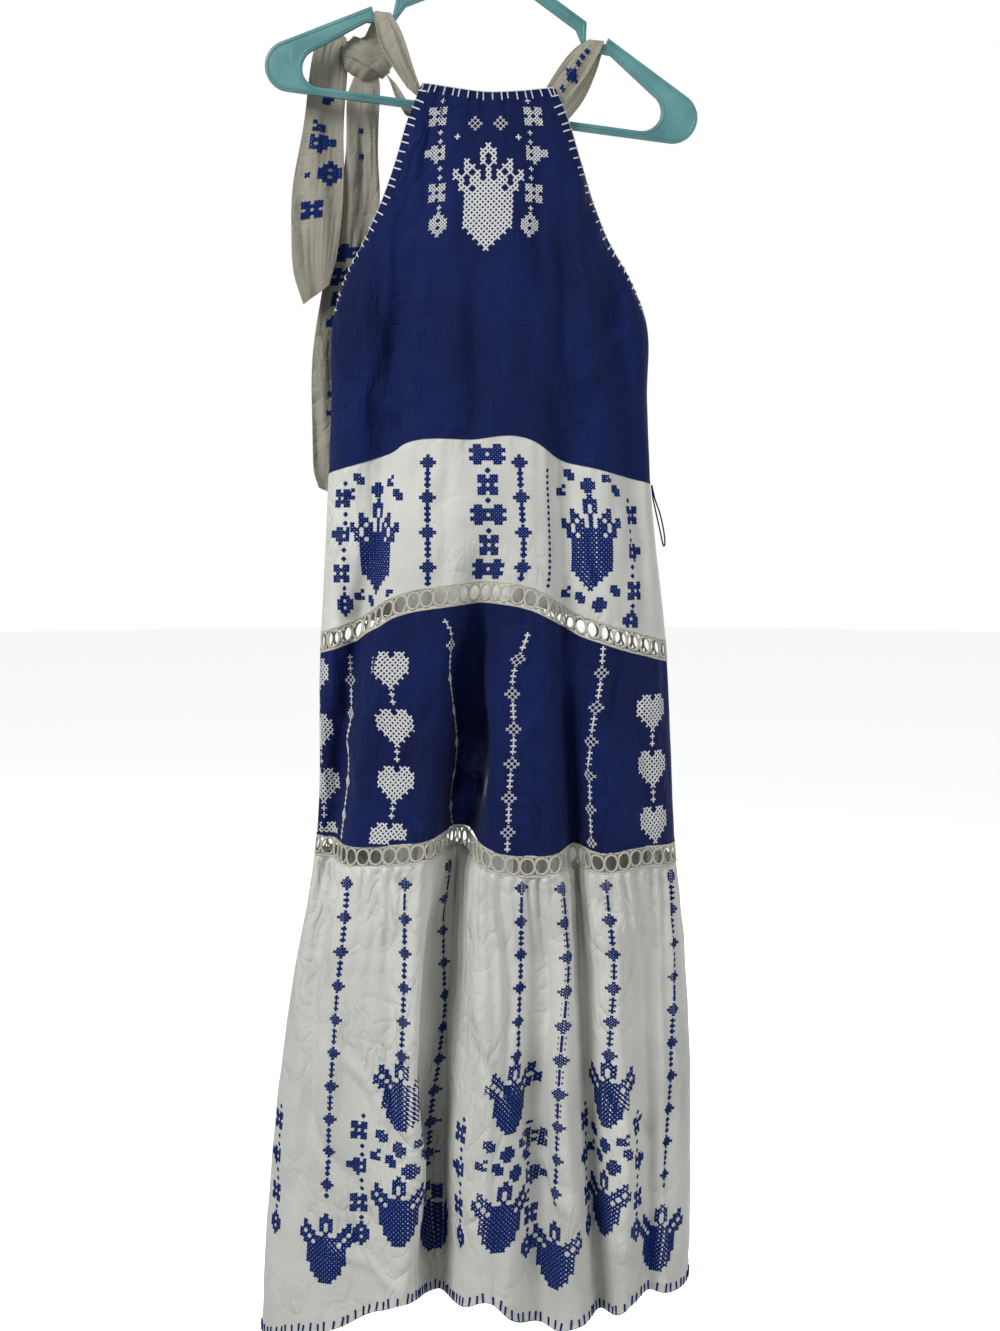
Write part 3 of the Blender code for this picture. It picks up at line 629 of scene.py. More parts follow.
def fineCreases():  # the small crumpling of worn and washed cotton, and soft patches of painted shade and painted light
    tree, given, put = newGroup("fineCreases", {"Scale": 1.0}, ("Height", "PaintedShading"))
    n = Nodes(tree)
    place = n.source("ShaderNodeTexCoord", "Object")
    bend = n.noise(n.scaled(place, (1.0, 1.0, 0.7)), 14.0, 2.0)
    warped = tree.nodes.new("ShaderNodeVectorMath")
    warped.operation = "ADD"
    n.plug(place, warped.inputs[0])
    shift = tree.nodes.new("ShaderNodeCombineXYZ")
    n.plug(n.math("MULTIPLY", bend, 0.07), shift.inputs[0])
    n.plug(n.math("MULTIPLY", bend, 0.05), shift.inputs[2])
    n.plug(shift.outputs[0], warped.inputs[1])
    ridges = []
    for scale, size in ((26.0, 1.0), (58.0, 0.45), (120.0, 0.2)):
        field = n.noise(n.scaled(warped.outputs[0], (1.0, 1.0, 0.55)), scale, 1.0)
        ridge = n.math("ABSOLUTE", n.math("SUBTRACT", field, 0.5))
        ridges.append(n.math("MULTIPLY", n.math("POWER", ridge, 0.6), size))
    height = n.math("ADD", n.math("ADD", ridges[0], ridges[1]), ridges[2])
    patches = n.noise(n.scaled(place, (1.0, 1.0, 0.8)), 8.0, 2.0)
    patched = n.math("MULTIPLY", height, n.remap(patches, 0.42, 0.66, 0.12, 1.0))
    n.plug(n.math("MULTIPLY", patched, given.outputs["Scale"]), put.inputs["Height"])
    # soft patches of painted shade and painted light, standing in for the shading of slight creases;
    # they don't follow the crumpling's bumps
    paintedShading = n.noise(n.scaled(place, (1.0, 1.0, 0.6)), 9.0, 4.0)
    n.plug(n.remap(paintedShading, 0.3, 0.7), put.inputs["PaintedShading"])
    return tree


weaveGroup = plainWeave()
creaseGroup = fineCreases()

# colours are linear; dark and light are the cloth's colour as painted shade and as painted light, the
# ends of soft patches that stand in for the shading of slight creases
cottonLooks = {
    "blueCotton": dict(
        dark=(0.0019, 0.0060, 0.044), light=(0.0036, 0.0116, 0.084),
        slubTint=(0.010, 0.024, 0.140), sheen=0.02, rough=0.78, creases=0.0140,
    ),
    "whiteCotton": dict(
        dark=(0.520, 0.525, 0.490), light=(0.680, 0.680, 0.635),
        slubTint=(0.740, 0.730, 0.680), sheen=0.08, rough=0.88, creases=0.0092,
    ),
    "sashCotton": dict(
        dark=(0.205, 0.195, 0.158), light=(0.345, 0.325, 0.265),
        slubTint=(0.500, 0.480, 0.400), sheen=0.08, rough=0.88, creases=0.0070,
    ),
}
cottonShared = dict(
    threads=1500.0, slubs=0.6, slubShare=0.45, sheenRough=0.45, shine=0.15,
    weaveDepth=0.00025, weaveBump=0.5, creaseBump=0.90,
)


def bumped(n, height, depth, strength, under=None):  # a bump, laid over another one
    bump = n.tree.nodes.new("ShaderNodeBump")
    bump.inputs["Distance"].default_value = depth
    bump.inputs["Strength"].default_value = strength
    n.plug(height, bump.inputs["Height"])
    if under:
        n.plug(under, bump.inputs["Normal"])
    return bump.outputs[0]


def newFinish(name):
    material = bpy.data.materials.new(name)
    material.use_nodes = True
    return material, Nodes(material.node_tree), material.node_tree.nodes["Principled BSDF"].inputs


def cottonFinish(name):
    look, shared = cottonLooks[name], cottonShared
    material, n, shader = newFinish(name)
    weave = n.group(weaveGroup, Threads=shared["threads"], Slub=shared["slubs"])
    creased = n.group(creaseGroup, Scale=1.0)
    # the cloth's colour runs from painted shade to painted light in soft patches
    paintedShading = n.blend(creased["PaintedShading"], look["dark"], look["light"])
    slub = n.remap(weave["Slubs"], 0.02, 0.20)
    slubbed = n.math("MULTIPLY", slub, shared["slubShare"])
    n.plug(n.blend(slubbed, paintedShading, look["slubTint"]), shader["Base Color"])
    rough = n.remap(weave["Height"], 0.2, 1.0, look["rough"] + 0.06, look["rough"] - 0.05)
    n.plug(rough, shader["Roughness"])
    shader["Sheen Weight"].default_value = look["sheen"]
    shader["Sheen Roughness"].default_value = shared["sheenRough"]
    shader["Specular IOR Level"].default_value = shared["shine"]
    fine = bumped(n, weave["Height"], shared["weaveDepth"], shared["weaveBump"])
    broad = bumped(n, creased["Height"], look["creases"], shared["creaseBump"], fine)
    n.plug(broad, shader["Normal"])
    return material


# colour is the thread's own; shade is painted shade, laid into the grooves of the twist
threadLooks = {
    "creamThread": dict(colour=(0.620, 0.600, 0.510), shade=(0.400, 0.385, 0.320), sheen=0.1),
    "whiteThread": dict(colour=(0.760, 0.760, 0.740), shade=(0.540, 0.540, 0.530), sheen=0.1),
    "navyThread": dict(colour=(0.0060, 0.0240, 0.150), shade=(0.0035, 0.0140, 0.090), sheen=0.0),
    "navyCord": dict(colour=(0.010, 0.016, 0.085), shade=(0.005, 0.008, 0.045), sheen=0.02),
}
threadShared = dict(twists=1400.0, shine=0.08, depth=0.0003, bump=0.6)


def threadFinish(name):
    look, shared = threadLooks[name], threadShared
    material, n, shader = newFinish(name)
    place = n.source("ShaderNodeTexCoord", "Object")
    twist = n.noise(place, shared["twists"], 1.0)
    uneven = n.noise(place, 60.0, 2.0)
    # painted shade where the twist's bump sinks in, times a random unevenness along the thread that is
    # its own tone
    both = n.math("MULTIPLY", n.remap(twist, 0.35, 0.65), n.remap(uneven, 0.2, 0.6, 0.55, 1.0))
    n.plug(n.blend(both, look["shade"], look["colour"]), shader["Base Color"])
    n.plug(n.remap(twist, 0.3, 0.7, 0.82, 0.62), shader["Roughness"])
    shader["Sheen Weight"].default_value = look["sheen"]
    shader["Specular IOR Level"].default_value = shared["shine"]
    n.plug(bumped(n, twist, shared["depth"], shared["bump"]), shader["Normal"])
    return material


plasticLook = dict(
    deep=(0.060, 0.190, 0.200), pale=(0.120, 0.300, 0.300), scuff=(0.260, 0.420, 0.410),
    scuffShare=0.35, glowIn=0.08, glowDepth=0.004, bumpDepth=0.0004, bump=0.25,
)


def plasticFinish(name):
    look = plasticLook
    material, n, shader = newFinish(name)
    place = n.source("ShaderNodeTexCoord", "Object")
    cloudy = n.remap(n.noise(place, 22.0, 3.0), 0.3, 0.7)
    flow = n.noise(n.scaled(place, (30.0, 30.0, 6.0)), 1.0, 4.0)
    scuffs = n.remap(n.noise(n.scaled(place, (240.0, 240.0, 55.0)), 1.0, 5.0, 0.7), 0.62, 0.72)
    base = n.blend(cloudy, look["deep"], look["pale"])
    scuffed = n.math("MULTIPLY", scuffs, look["scuffShare"])
    n.plug(n.blend(scuffed, base, look["scuff"]), shader["Base Color"])
    n.plug(n.remap(flow, 0.3, 0.7, 0.30, 0.44), shader["Roughness"])
    shader["Subsurface Weight"].default_value = look["glowIn"]
    shader["Subsurface Scale"].default_value = look["glowDepth"]
    relief = n.math("ADD", flow, n.math("MULTIPLY", scuffs, 0.3))
    n.plug(bumped(n, relief, look["bumpDepth"], look["bump"]), shader["Normal"])
    return material


print("scene: finishes")
finishes = {name: cottonFinish(name) for name in cottonLooks}
finishes.update({name: threadFinish(name) for name in threadLooks})
finishes["tealPlastic"] = plasticFinish("tealPlastic")


def keep(obj, finish, *nodes):  # finishes, rides and stands in for its solids
    giveFinish(obj, finish)
    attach(obj, "root")
    if nodes:
        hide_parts(*nodes)
    return obj


# the cloth panels

panelLook = dict(wall=0.0008, tuck=0.0012, topIn=0.0006, lowOut=0.0005, uvLevel=-0.9, rowsCrowd=1.35)


def makePanel(kind, side):
    p = panels[kind]
    across = np.linspace(0.0, 1.0, p["cols"] + 1)
    hung = kind != "bodice"  # the tiers' tops are tucked behind a seam, their rows closer there
    down = np.linspace(0.0, 1.0, p["rows"] + 1) ** (panelLook["rowsCrowd"] if hung else 1.0)
    u, share = np.meshgrid(across, down)
    topZ, lowZ = panelEdges(kind, side, u)
    tucked = panelLook["tuck"] if hung else 0.0
    z = (topZ + tucked) + (lowZ - topZ - tucked) * share
    edgeIn = -panelLook["topIn"] * (1 - ease((topZ - z + tucked) / 0.004)) if hung else 0.0
    edgeOut = panelLook["lowOut"] * (1 - ease((z - lowZ) / 0.0035))
    points, _ = clothPoint(kind, side, u, z, topZ, edgeIn + edgeOut)
    piece = gridPiece(f"{kind}_{sideNames[side]}_cloth", points)
    wide = cloths[side].width(panelLook["uvLevel"])
    metres = np.stack([u * wide, z], axis=-1).reshape(-1, 2)
    setUv(piece, metres)
    if side == front:
        flipIn(piece)
    applyModifier(piece, "SOLIDIFY", thickness=panelLook["wall"], offset=0.0)
    return smooth(keep(piece, p["finish"], f"{kind}_{sideNames[side]}"), 60)


for side in sideNames:
    for kind in panels:
        makePanel(kind, side)
    print("scene:", sideNames[side], "panels")


# the ring lace: oval rings between two narrow tapes, with a bar at each joint

laceLook = dict(
    ringHeight=0.0084, thread=0.00125,
    tape=0.0017, tapeWall=0.0011, over=0.0008, scallop=0.0006, puff=0.0004,
)
laceRings = {"lace_1": dict(rings=34, level=-0.735), "lace_2": dict(rings=42, level=-0.962)}


def onLace(line, side, u, up, lift=0.0):  # up is metres above the band's middle line
    z = lineHeight(line, side, u) + up
    x, y, nx, ny = cloths[side].at(u, z)
    return np.stack([x + nx * lift, y + ny * lift, z], axis=-1)


def ringShape(steps=14, sides=5):  # one thread ring, as angles round it and round the thread
    ring = np.linspace(0, 2 * math.pi, steps, endpoint=False)
    thread = np.linspace(0, 2 * math.pi, sides, endpoint=False)
    a, b = np.meshgrid(ring, thread, indexing="ij")
    faces = []
    for i in range(steps):
        for j in range(sides):
            ni, nj = (i + 1) % steps, (j + 1) % sides
            faces.append((i * sides + j, ni * sides + j, ni * sides + nj, i * sides + nj))
    return a.ravel(), b.ravel(), faces


def makeRings(line, side):
    around, thread, faces = ringShape()
    rings = laceRings[line]["rings"]
    pitch = cloths[side].width(laceRings[line]["level"]) / rings
    shapes = []
    for i in range(rings):
        middle = (i + 0.5) / rings
        wide = pitch * 0.5 * (0.97 + 0.03 * math.sin(i * 2.3))
        tall = laceLook["ringHeight"] * (1.0 + 0.04 * math.sin(i * 1.7 + side))
        out = 1.0 + laceLook["thread"] / wide * np.cos(thread)
        du = wide * out * np.cos(around) / (pitch * rings)
        up = (tall + laceLook["thread"] * np.cos(thread)) * np.sin(around)
        lift = laceLook["thread"] * 0.9 * np.sin(thread)
        shapes.append((onLace(line, side, np.clip(middle + du, 0, 1), up, lift), faces))
    piece = meshPiece(f"{line}_{sideNames[side]}_rings", *merged(shapes))
    return smooth(outward(piece), 80)


def makeTapes(line, side):  # the scalloped strips that the panels are sewn to
    rings = laceRings[line]["rings"]
    cols, rows = rings * 6, 4
    pieces = []
    for way in (1.0, -1.0):
        u, share = np.meshgrid(np.linspace(0, 1, cols + 1), np.linspace(0, 1, rows + 1))
        scallop = laceLook["scallop"] * np.cos(2 * math.pi * rings * u)
        up = way * (laceHeight / 2 + laceLook["over"] - share * (laceLook["tape"] + scallop))
        twice = 1 + 0.5 * np.cos(2 * math.pi * rings * 2 * u)
        puff = laceLook["puff"] * np.sin(math.pi * share) * twice
        points = onLace(line, side, u, up, puff)
        piece = gridPiece(f"{line}_{sideNames[side]}_tape", points)
        if (side == front) == (way > 0):
            flipIn(piece)
        applyModifier(piece, "SOLIDIFY", thickness=laceLook["tapeWall"], offset=0.0)
        pieces.append(piece)
    return pieces


def threadRun(points, radius, sides=4):  # a thread with closed ends along a few points
    points = np.asarray(points, float)
    along = np.gradient(points, axis=0)
    along /= np.linalg.norm(along, axis=1)[:, None] + 1e-12
    aside = np.cross(along, (0.31, 0.85, 0.42))
    aside /= np.linalg.norm(aside, axis=1)[:, None]
    other = np.cross(along, aside)
    turn = np.linspace(0, 2 * math.pi, sides, endpoint=False)
    ring = points[:, None] + radius * (
        aside[:, None] * np.cos(turn)[None, :, None] + other[:, None] * np.sin(turn)[None, :, None]
    )
    count = len(points)
    faces = []
    for i in range(count - 1):
        for j in range(sides):
            k = (j + 1) % sides
            faces.append((i * sides + j, i * sides + k, (i + 1) * sides + k, (i + 1) * sides + j))
    faces.append(tuple(reversed(range(sides))))
    faces.append(tuple(range((count - 1) * sides, count * sides)))
    return ring.reshape(-1, 3), faces


def threadPiece(name, runs, radius, sides=4):  # many threads as one mesh
    piece = meshPiece(name, *merged(threadRun(run, radius, sides) for run in runs))
    return smooth(outward(piece), 70)


barLook = dict(thread=0.0005, splay=0.16, heights=np.array([0.0026, 0.0058, 0.0092]), lift=0.0002)


def makeBars(line, side):  # from each ring's joint to the tapes, splayed like a small Y
    rings = laceRings[line]["rings"]
    runs = []
    for i in range(1, rings):
        u = i / rings
        for way in (1.0, -1.0):
            for splay in (-barLook["splay"], barLook["splay"]):
                us = np.array([u, u + splay * 0.5 / rings, u + splay / rings])
                runs.append(onLace(line, side, us, way * barLook["heights"], barLook["lift"]))
    return threadPiece(f"{line}_{sideNames[side]}_bars", runs, barLook["thread"], 4)


def joined(name, pieces):
    bpy.ops.object.select_all(action="DESELECT")
    for piece in pieces:
        piece.select_set(True)
    bpy.context.view_layer.objects.active = pieces[0]
    bpy.ops.object.join()
    pieces[0].name = pieces[0].data.name = name
    return pieces[0]


def makeLace(line, side):
    pieces = [makeRings(line, side), *makeTapes(line, side), makeBars(line, side)]
    name = f"{line}_{sideNames[side]}"
    return keep(joined(name + "_band", pieces), "creamThread", name)


for line in laceRings:
    for side in sideNames:
        makeLace(line, side)
print("scene: lace")


# the sash, on the same route as its solids

sashColumns = "x y z width angle fold"
sashRight = table(
    sashColumns,
    (0.0560, -0.0140, -0.2120, 0.018, -56, 0.0000),
    (0.0730, -0.0148, -0.1925, 0.025, -54, 0.0008),
    (0.0885, -0.0138, -0.1720, 0.025, -46, 0.0014),
    (0.0998, -0.0092, -0.1560, 0.022, -30, 0.0008),
    (0.1082, -0.0043, -0.1455, 0.016, -7.5, 0.0),
    (0.1082, 0.0000, -0.1443, 0.016, -7.5, 0.0),
    (0.1082, 0.0043, -0.1455, 0.016, -7.5, 0.0),
    (0.1055, 0.0070, -0.1530, 0.019, -14, 0.0004),
    (0.0985, 0.0115, -0.1690, 0.023, -26, 0.0012),
    (0.0850, 0.0135, -0.1930, 0.025, -32, 0.0008),
    (0.0630, 0.0130, -0.2200, 0.024, -38, 0.0000),
)
sashFrontLeft = table(
    sashColumns,
    (-0.0700, -0.0155, -0.2020, 0.026, -38, 0.0000),
    (-0.0790, -0.0160, -0.1870, 0.030, -36, 0.0008),
    (-0.0900, -0.0150, -0.1650, 0.036, -30, 0.0022),
    (-0.0985, -0.0105, -0.1370, 0.030, -18, 0.0014),
    (-0.1040, -0.0065, -0.1210, 0.020, -10, 0.0004),
    (-0.1052, -0.0043, -0.1175, 0.016, -7.5, 0.0),
    (-0.1052, 0.0000, -0.1163, 0.016, -7.5, 0.0),
    (-0.1052, 0.0043, -0.1175, 0.016, -7.5, 0.0),
    (-0.1075, 0.0072, -0.1240, 0.019, -12, 0.0004),
    (-0.1150, 0.0145, -0.1398, 0.022, -20, 0.0),
)
sashBackLeft = table(
    sashColumns,
    (-0.0760, 0.0135, -0.2190, 0.024, -40, 0.0000),
    (-0.0840, 0.0145, -0.2050, 0.026, -42, 0.0006),
    (-0.0925, 0.0185, -0.1870, 0.020, -42, 0.0010),
    (-0.0990, 0.0222, -0.1750, 0.014, -45, 0.0),
)
tailShort = table(
    sashColumns,
    (-0.1431, 0.0237, -0.1436, 0.020, 100, 0.0000),
    (-0.1510, 0.0255, -0.1355, 0.026, 115, 0.0014),
    (-0.1570, 0.0260, -0.1400, 0.030, 140, 0.0018),
    (-0.1608, 0.0260, -0.1520, 0.034, 155, 0.0020),
    (-0.1640, 0.0262, -0.1750, 0.038, 168, 0.0022),
    (-0.1690, 0.0268, -0.2200, 0.044, 176, 0.0024),
    (-0.1745, 0.0272, -0.2700, 0.050, 182, 0.0024),
    (-0.1780, 0.0280, -0.3200, 0.050, 186, 0.0022),
    (-0.1800, 0.0290, -0.3600, 0.048, 196, 0.0018),
    (-0.1790, 0.0300, -0.3900, 0.034, 216, 0.0008),
)
tailLong = table(
    sashColumns,
    (-0.1235, 0.0215, -0.1660, 0.017, 180, 0.0000),
    (-0.1250, 0.0215, -0.1778, 0.028, 180, 0.0000),
    (-0.1280, 0.0220, -0.2000, 0.033, 180, 0.0016),
    (-0.1300, 0.0285, -0.2450, 0.035, 180, 0.0022),
    (-0.1345, 0.0380, -0.2950, 0.042, 180, 0.0024),
    (-0.1450, 0.0435, -0.3450, 0.042, 181, 0.0024),
    (-0.1580, 0.0485, -0.3950, 0.040, 182, 0.0022),
    (-0.1660, 0.0510, -0.4500, 0.038, 181, 0.0020),
    (-0.1690, 0.0510, -0.5200, 0.038, 180, 0.0018),
    (-0.1690, 0.0500, -0.5650, 0.036, 178, 0.0014),
    (-0.1670, 0.0490, -0.5950, 0.030, 155, 0.0008),
)
sashWave = (0.2, 1.0, -0.5, 0.6, -1.0, 0.5, -0.3)
sashLook = dict(
    cols=36, rowsEach=9, wall=0.0009, fineFolds=0.0005, looseFrom=0.0014, edgeWave=0.0012, uvWide=0.045,
)


def finely(route, rowsEach):  # the route's rows with smooth ones between
    knots = np.arange(len(route["x"]), dtype=float)
    at = np.linspace(0, knots[-1], rowsEach * (len(knots) - 1) + 1)
    return {name: softCurve(at, knots, values) for name, values in route.items()}


def sashForm(route, share, seed):  # middle surface of a strip, and which way it faces
    r = finely(route, sashLook["rowsEach"])
    middle = np.stack([r["x"], r["y"], r["z"]], axis=1)
    along = np.gradient(middle, axis=0)
    along /= np.linalg.norm(along, axis=1)[:, None]
    angle = np.radians(r["angle"])
    across = np.stack([np.cos(angle), 0 * angle, np.sin(angle)], axis=1)
    facing = np.cross(along, across)
    facing /= np.linalg.norm(facing, axis=1)[:, None]
    run = runAlong(middle)
    s, v = np.meshgrid(run, share, indexing="ij")
    wave = np.interp(v, np.linspace(-0.5, 0.5, len(sashWave)), sashWave)
    soft = 1.15 * np.cos(2 * math.pi * (1.5 * v + 5.0 * s + seed)) + 0.45 * wave
    fine = np.sin(2 * math.pi * (5.0 * v + 9.0 * s * np.sin(3 * v + seed)))
    fine = fine * np.sin(33.0 * s + seed)
    loose = np.clip(r["fold"] / sashLook["looseFrom"], 0, 1)[:, None]
    lift = r["fold"][:, None] * soft + sashLook["fineFolds"] * fine * loose
    edge = sashLook["edgeWave"] * loose * np.sin(41.0 * s + seed) * np.abs(2 * v) ** 3
    width = r["width"][:, None] * v + edge * np.sign(v)
    points = middle[:, None] + across[:, None] * width[..., None]
    return points + facing[:, None] * lift[..., None], facing, run


def makeStrip(name, route, seed, *nodes):
    share = np.linspace(-0.5, 0.5, sashLook["cols"] + 1)
    points, _, run = sashForm(route, share, seed)
    piece = gridPiece(name, points)
    s, v = np.meshgrid(run, share * sashLook["uvWide"], indexing="ij")
    setUv(piece, np.stack([v, s], axis=-1).reshape(-1, 2))
    applyModifier(piece, "SOLIDIFY", thickness=sashLook["wall"], offset=0.0)
    return smooth(keep(outward(piece), "sashCotton", *nodes), 60)


strips = {
    "sash_right": (sashRight, 0.3),
    "sash_front_left": (sashFrontLeft, 1.1),
    "sash_back_left": (sashBackLeft, 2.0),
    "sash_tail_short": (tailShort, 0.7),
    "sash_tail_long": (tailLong, 1.6),
}
stripPieces = {
    name: makeStrip(name + "_cloth", route, seed, name) for name, (route, seed) in strips.items()
}


def onStrip(name, along, across, lift):  # a place on a strip, by metres along and share across
    route, seed = strips[name]
    share = np.linspace(-0.5, 0.5, sashLook["cols"] + 1)
    points, facing, run = sashForm(route, share, seed)
    row = np.interp(along, run, np.arange(len(run)))
    col = np.clip((across + 0.5) * sashLook["cols"], 0, sashLook["cols"] - 0.001)
    out = facing[np.clip(row.astype(int), 0, len(run) - 2)]
    out = out * np.where(out[:, 1] > 0, -1.0, 1.0)[:, None]
    return between(points, row, col) + out * lift, out


knotLook = dict(
    middle=(-0.1235, 0.0222, -0.1545), radii=(0.0275, 0.0165, 0.0252), size=0.87,
    slant=(0.50, 0.87), wrapMiddle=0.06, wrapHalf=0.52, wrapOut=0.10, dimple=0.10,
)


def makeKnot():  # a round primitive, drawn into wrapped layers of gathered cloth
    bpy.ops.object.select_all(action="DESELECT")
    bpy.ops.mesh.primitive_uv_sphere_add(segments=72, ring_count=44, radius=1.0)
    knot = bpy.context.object
    knot.name = knot.data.name = "sash_knot_cloth"
    co = np.empty(len(knot.data.vertices) * 3)
    knot.data.vertices.foreach_get("co", co)
    p = co.reshape(-1, 3)
    px, py, pz = p[:, 0], p[:, 1], p[:, 2]
    low, high = knotLook["slant"]
    slant = px * low + pz * high  # the wrap goes round this slanted way
    aside = px * high - pz * low
    wrap = ease((knotLook["wrapHalf"] - np.abs(slant - knotLook["wrapMiddle"])) / 0.10)
    along = 0.022 * np.sin(19.0 * slant + 2.2 * aside + 0.7)
    along = along + 0.012 * np.sin(34.0 * slant - 3.0 * aside)
    across = 0.045 * np.sin(6.5 * aside + 2.5 * slant + 1.0)
    across = across + 0.020 * np.sin(15.0 * aside - 4.0 * slant)
    size = knotLook["size"] + wrap * (knotLook["wrapOut"] + along) + (1 - wrap) * across
    dimple = np.exp(-(((px - 0.35) / 0.3) ** 2) - ((pz + 0.1) / 0.35) ** 2) * (py < 0)
    size -= knotLook["dimple"] * dimple
    placed = p * size[:, None] * np.array(knotLook["radii"]) + np.array(knotLook["middle"])
    knot.data.vertices.foreach_set("co", placed.reshape(-1).astype(np.float32))
    setUv(knot, np.stack([slant * 0.02, aside * 0.02], axis=-1))
    return smooth(keep(outward(knot), "sashCotton", "sash_knot"), 80)


makeKnot()
print("scene: sash")


# blanket stitches: a thread along the edge, and a stitch in from it over the cloth at each step

blanketLooks = {
    "neck": dict(step=0.0078, long=0.0080, lean=0.0, thread=0.00070, finish="whiteThread"),
    "armhole": dict(step=0.0088, long=0.0140, thread=0.00085, finish="whiteThread"),
    "hem": dict(step=0.0088, long=0.0092, lean=0.12, thread=0.00105, finish="navyThread"),
}
armholeEndZ = -0.412
stitchParts = np.linspace(0.0, 1.0, 5)
wallOut = 0.0009  # how far a thread's middle lies off the cloth's middle


def armholeRuns(side, right, look):
    cloth = cloths[side]
    edgeU = 1.0 if right else 0.0
    topZ = float(panelEdges("bodice", side, np.array([edgeU]))[0][0])
    z = np.linspace(topZ - 0.002, armholeEndZ, 200)
    edge, _ = onPanel("bodice", side, np.full_like(z, edgeU), z)
    run = runAlong(edge)
    count = int(run[-1] / look["step"])
    runs = []
    for i in range(count):
        s = (i + 0.5 + 0.12 * math.sin(i * 2.7)) * run[-1] / count
        rootZ = float(np.interp(s, run, z))
        low, high = np.interp((rootZ - 0.01, rootZ + 0.01), z[::-1], edge[::-1, 0])
        lean = abs(float(low - high)) / 0.02
        long = look["long"] * (0.88 + 0.22 * abs(math.sin(i * 1.9)))
        inward = long / math.sqrt(1 + lean**2) * stitchParts
        us = edgeU + (-inward if right else inward) / float(cloth.width(rootZ))
        zs = rootZ - inward * lean + 0.0006 * math.sin(i * 3.1) * stitchParts
        for lift in (wallOut, -wallOut):
            runs.append(onPanel("bodice", side, us, zs, lift)[0])
    runs.append(edge)
    return runs


def levelRuns(kind, side, below, look):  # along a neck or hem line
    u = np.linspace(0.002, 0.998, 700)
    topZ, lowZ = panelEdges(kind, side, u)
    z = lowZ if below else topZ
    edge, _ = onPanel(kind, side, u, z)
    run = runAlong(edge)
    count = int(run[-1] / look["step"])
    runs = []
    for i in range(count):
        s = (i + 0.5 + 0.15 * math.sin(i * 2.1)) * run[-1] / count
        root = float(np.interp(s, run, u))
        long = look["long"] * (0.85 + 0.25 * abs(math.sin(i * 1.7)))
        us = root + look["lean"] * math.sin(i * 1.3) * long * stitchParts / run[-1]
        zs = float(np.interp(root, u, z)) + (1 if below else -1) * long * stitchParts
        for lift in (wallOut, -wallOut):
            runs.append(onPanel(kind, side, us, zs, lift)[0])
    runs.append(edge)
    return runs


def makeBlanketStitches():
    runs = {name: [] for name in blanketLooks}
    for side in sideNames:
        for right in (False, True):
            runs["armhole"] += armholeRuns(side, right, blanketLooks["armhole"])
        runs["neck"] += levelRuns("bodice", side, False, blanketLooks["neck"])
        runs["hem"] += levelRuns("tier_3", side, True, blanketLooks["hem"])
    for name, look in blanketLooks.items():
        keep(threadPiece(f"{name}_stitches", runs[name], look["thread"]), look["finish"])


makeBlanketStitches()
print("scene: blanket stitches")


# cross-stitch embroidery: charted motifs, one X a cell; generic shapes of the dress's
# colours and scale

charts = {
    "single": "X",
    "openDiamond": "..X.. .X.X. X.X.X .X.X. ..X..",
    "diamond": "..X.. .XXX. XXXXX .XXX. ..X..",
    "square": ".XX. XXXX XXXX .XX.",
    "heart": ".XX.XX. XXXXXXX XXXXXXX XXXXXXX .XXXXX. ..XXX.. ...X...",
    "star": "XX.XX XXXXX .X.X. XXXXX XX.XX",
    "wideStar": ".XX...XX. XXXXXXXXX .XXX.XXX. XXXXXXXXX .XX...XX.",
    "arm": "..XX.X XXXXXX XXXX.X ..XXXX ...X..",
    "leaf": "..X XX. XXX",
    "bit": "XX. XXX .XX",
    "drop": "..X.. .XXX. XX.XX XXXXX XX.XX .XXX. ..X..",
    "tallFruit": (
        "......X...... .....XXX..... .....X.X..... ..X..X.X..X.. ..XX..X..XX.. X.X.X.X.X.X.X "
        "XX.XX.X.XX.XX .X.XXXXXXX.X. .XX.XXXXX.XX. ..XXXXXXXXX.. ..XXXXXXXXX.. ..XXXXXXXXX.. "
        "..XXXXXXXXX.. ..XXXXXXXXX.. ..XXXXXXXXX.. ..XXXXXXXXX.. ...XXXXXXX... ....XXXXX.... "
        ".....XXX..... ......X......"
    ),
    "lowFruit": (
        "......X...... .....XXX..... .X...X.X...X. .XX..X.X..XX. X.XX..X..XX.X XX.XXXXXXX.XX "
        ".XX.XXXXX.XX. ..XXXXXXXXX.. ..XXXXXXXXX.. ..XXXXXXXXX.. ..XXXXXXXXX.. ...XXXXXXX... "
        "...XXXXXXX... ....XXXXX.... .....XXX....."
    ),
}
charts["armRight"] = " ".join(row[::-1] for row in charts["arm"].split())

# charts worked in finer or coarser cells than their column's
cellSizes = {
    "diamond": 0.70, "openDiamond": 0.68, "single": 1.20,
    "heart": 1.26, "tallFruit": 1.30, "lowFruit": 1.21,
}


def cellsOf(chart):  # stitch places of a chart, in cells from its middle top
    rows = charts[chart].split()
    middle = (max(len(row) for row in rows) - 1) / 2
    return [(c - middle, r) for r, row in enumerate(rows) for c, mark in enumerate(row) if mark == "X"]


def chain(start, end, big="diamond", gap=0.0345, singles=(0.0160, 0.0217, 0.0274)):
    parts = []
    for i in range(int((end - start) / gap) + 1):
        at = start + i * gap
        parts.append((big, 0.0, at))
        parts += [("single", 0.0, at + s) for s in singles if at + s < end]
    return [part for part in parts if part[2] < end]


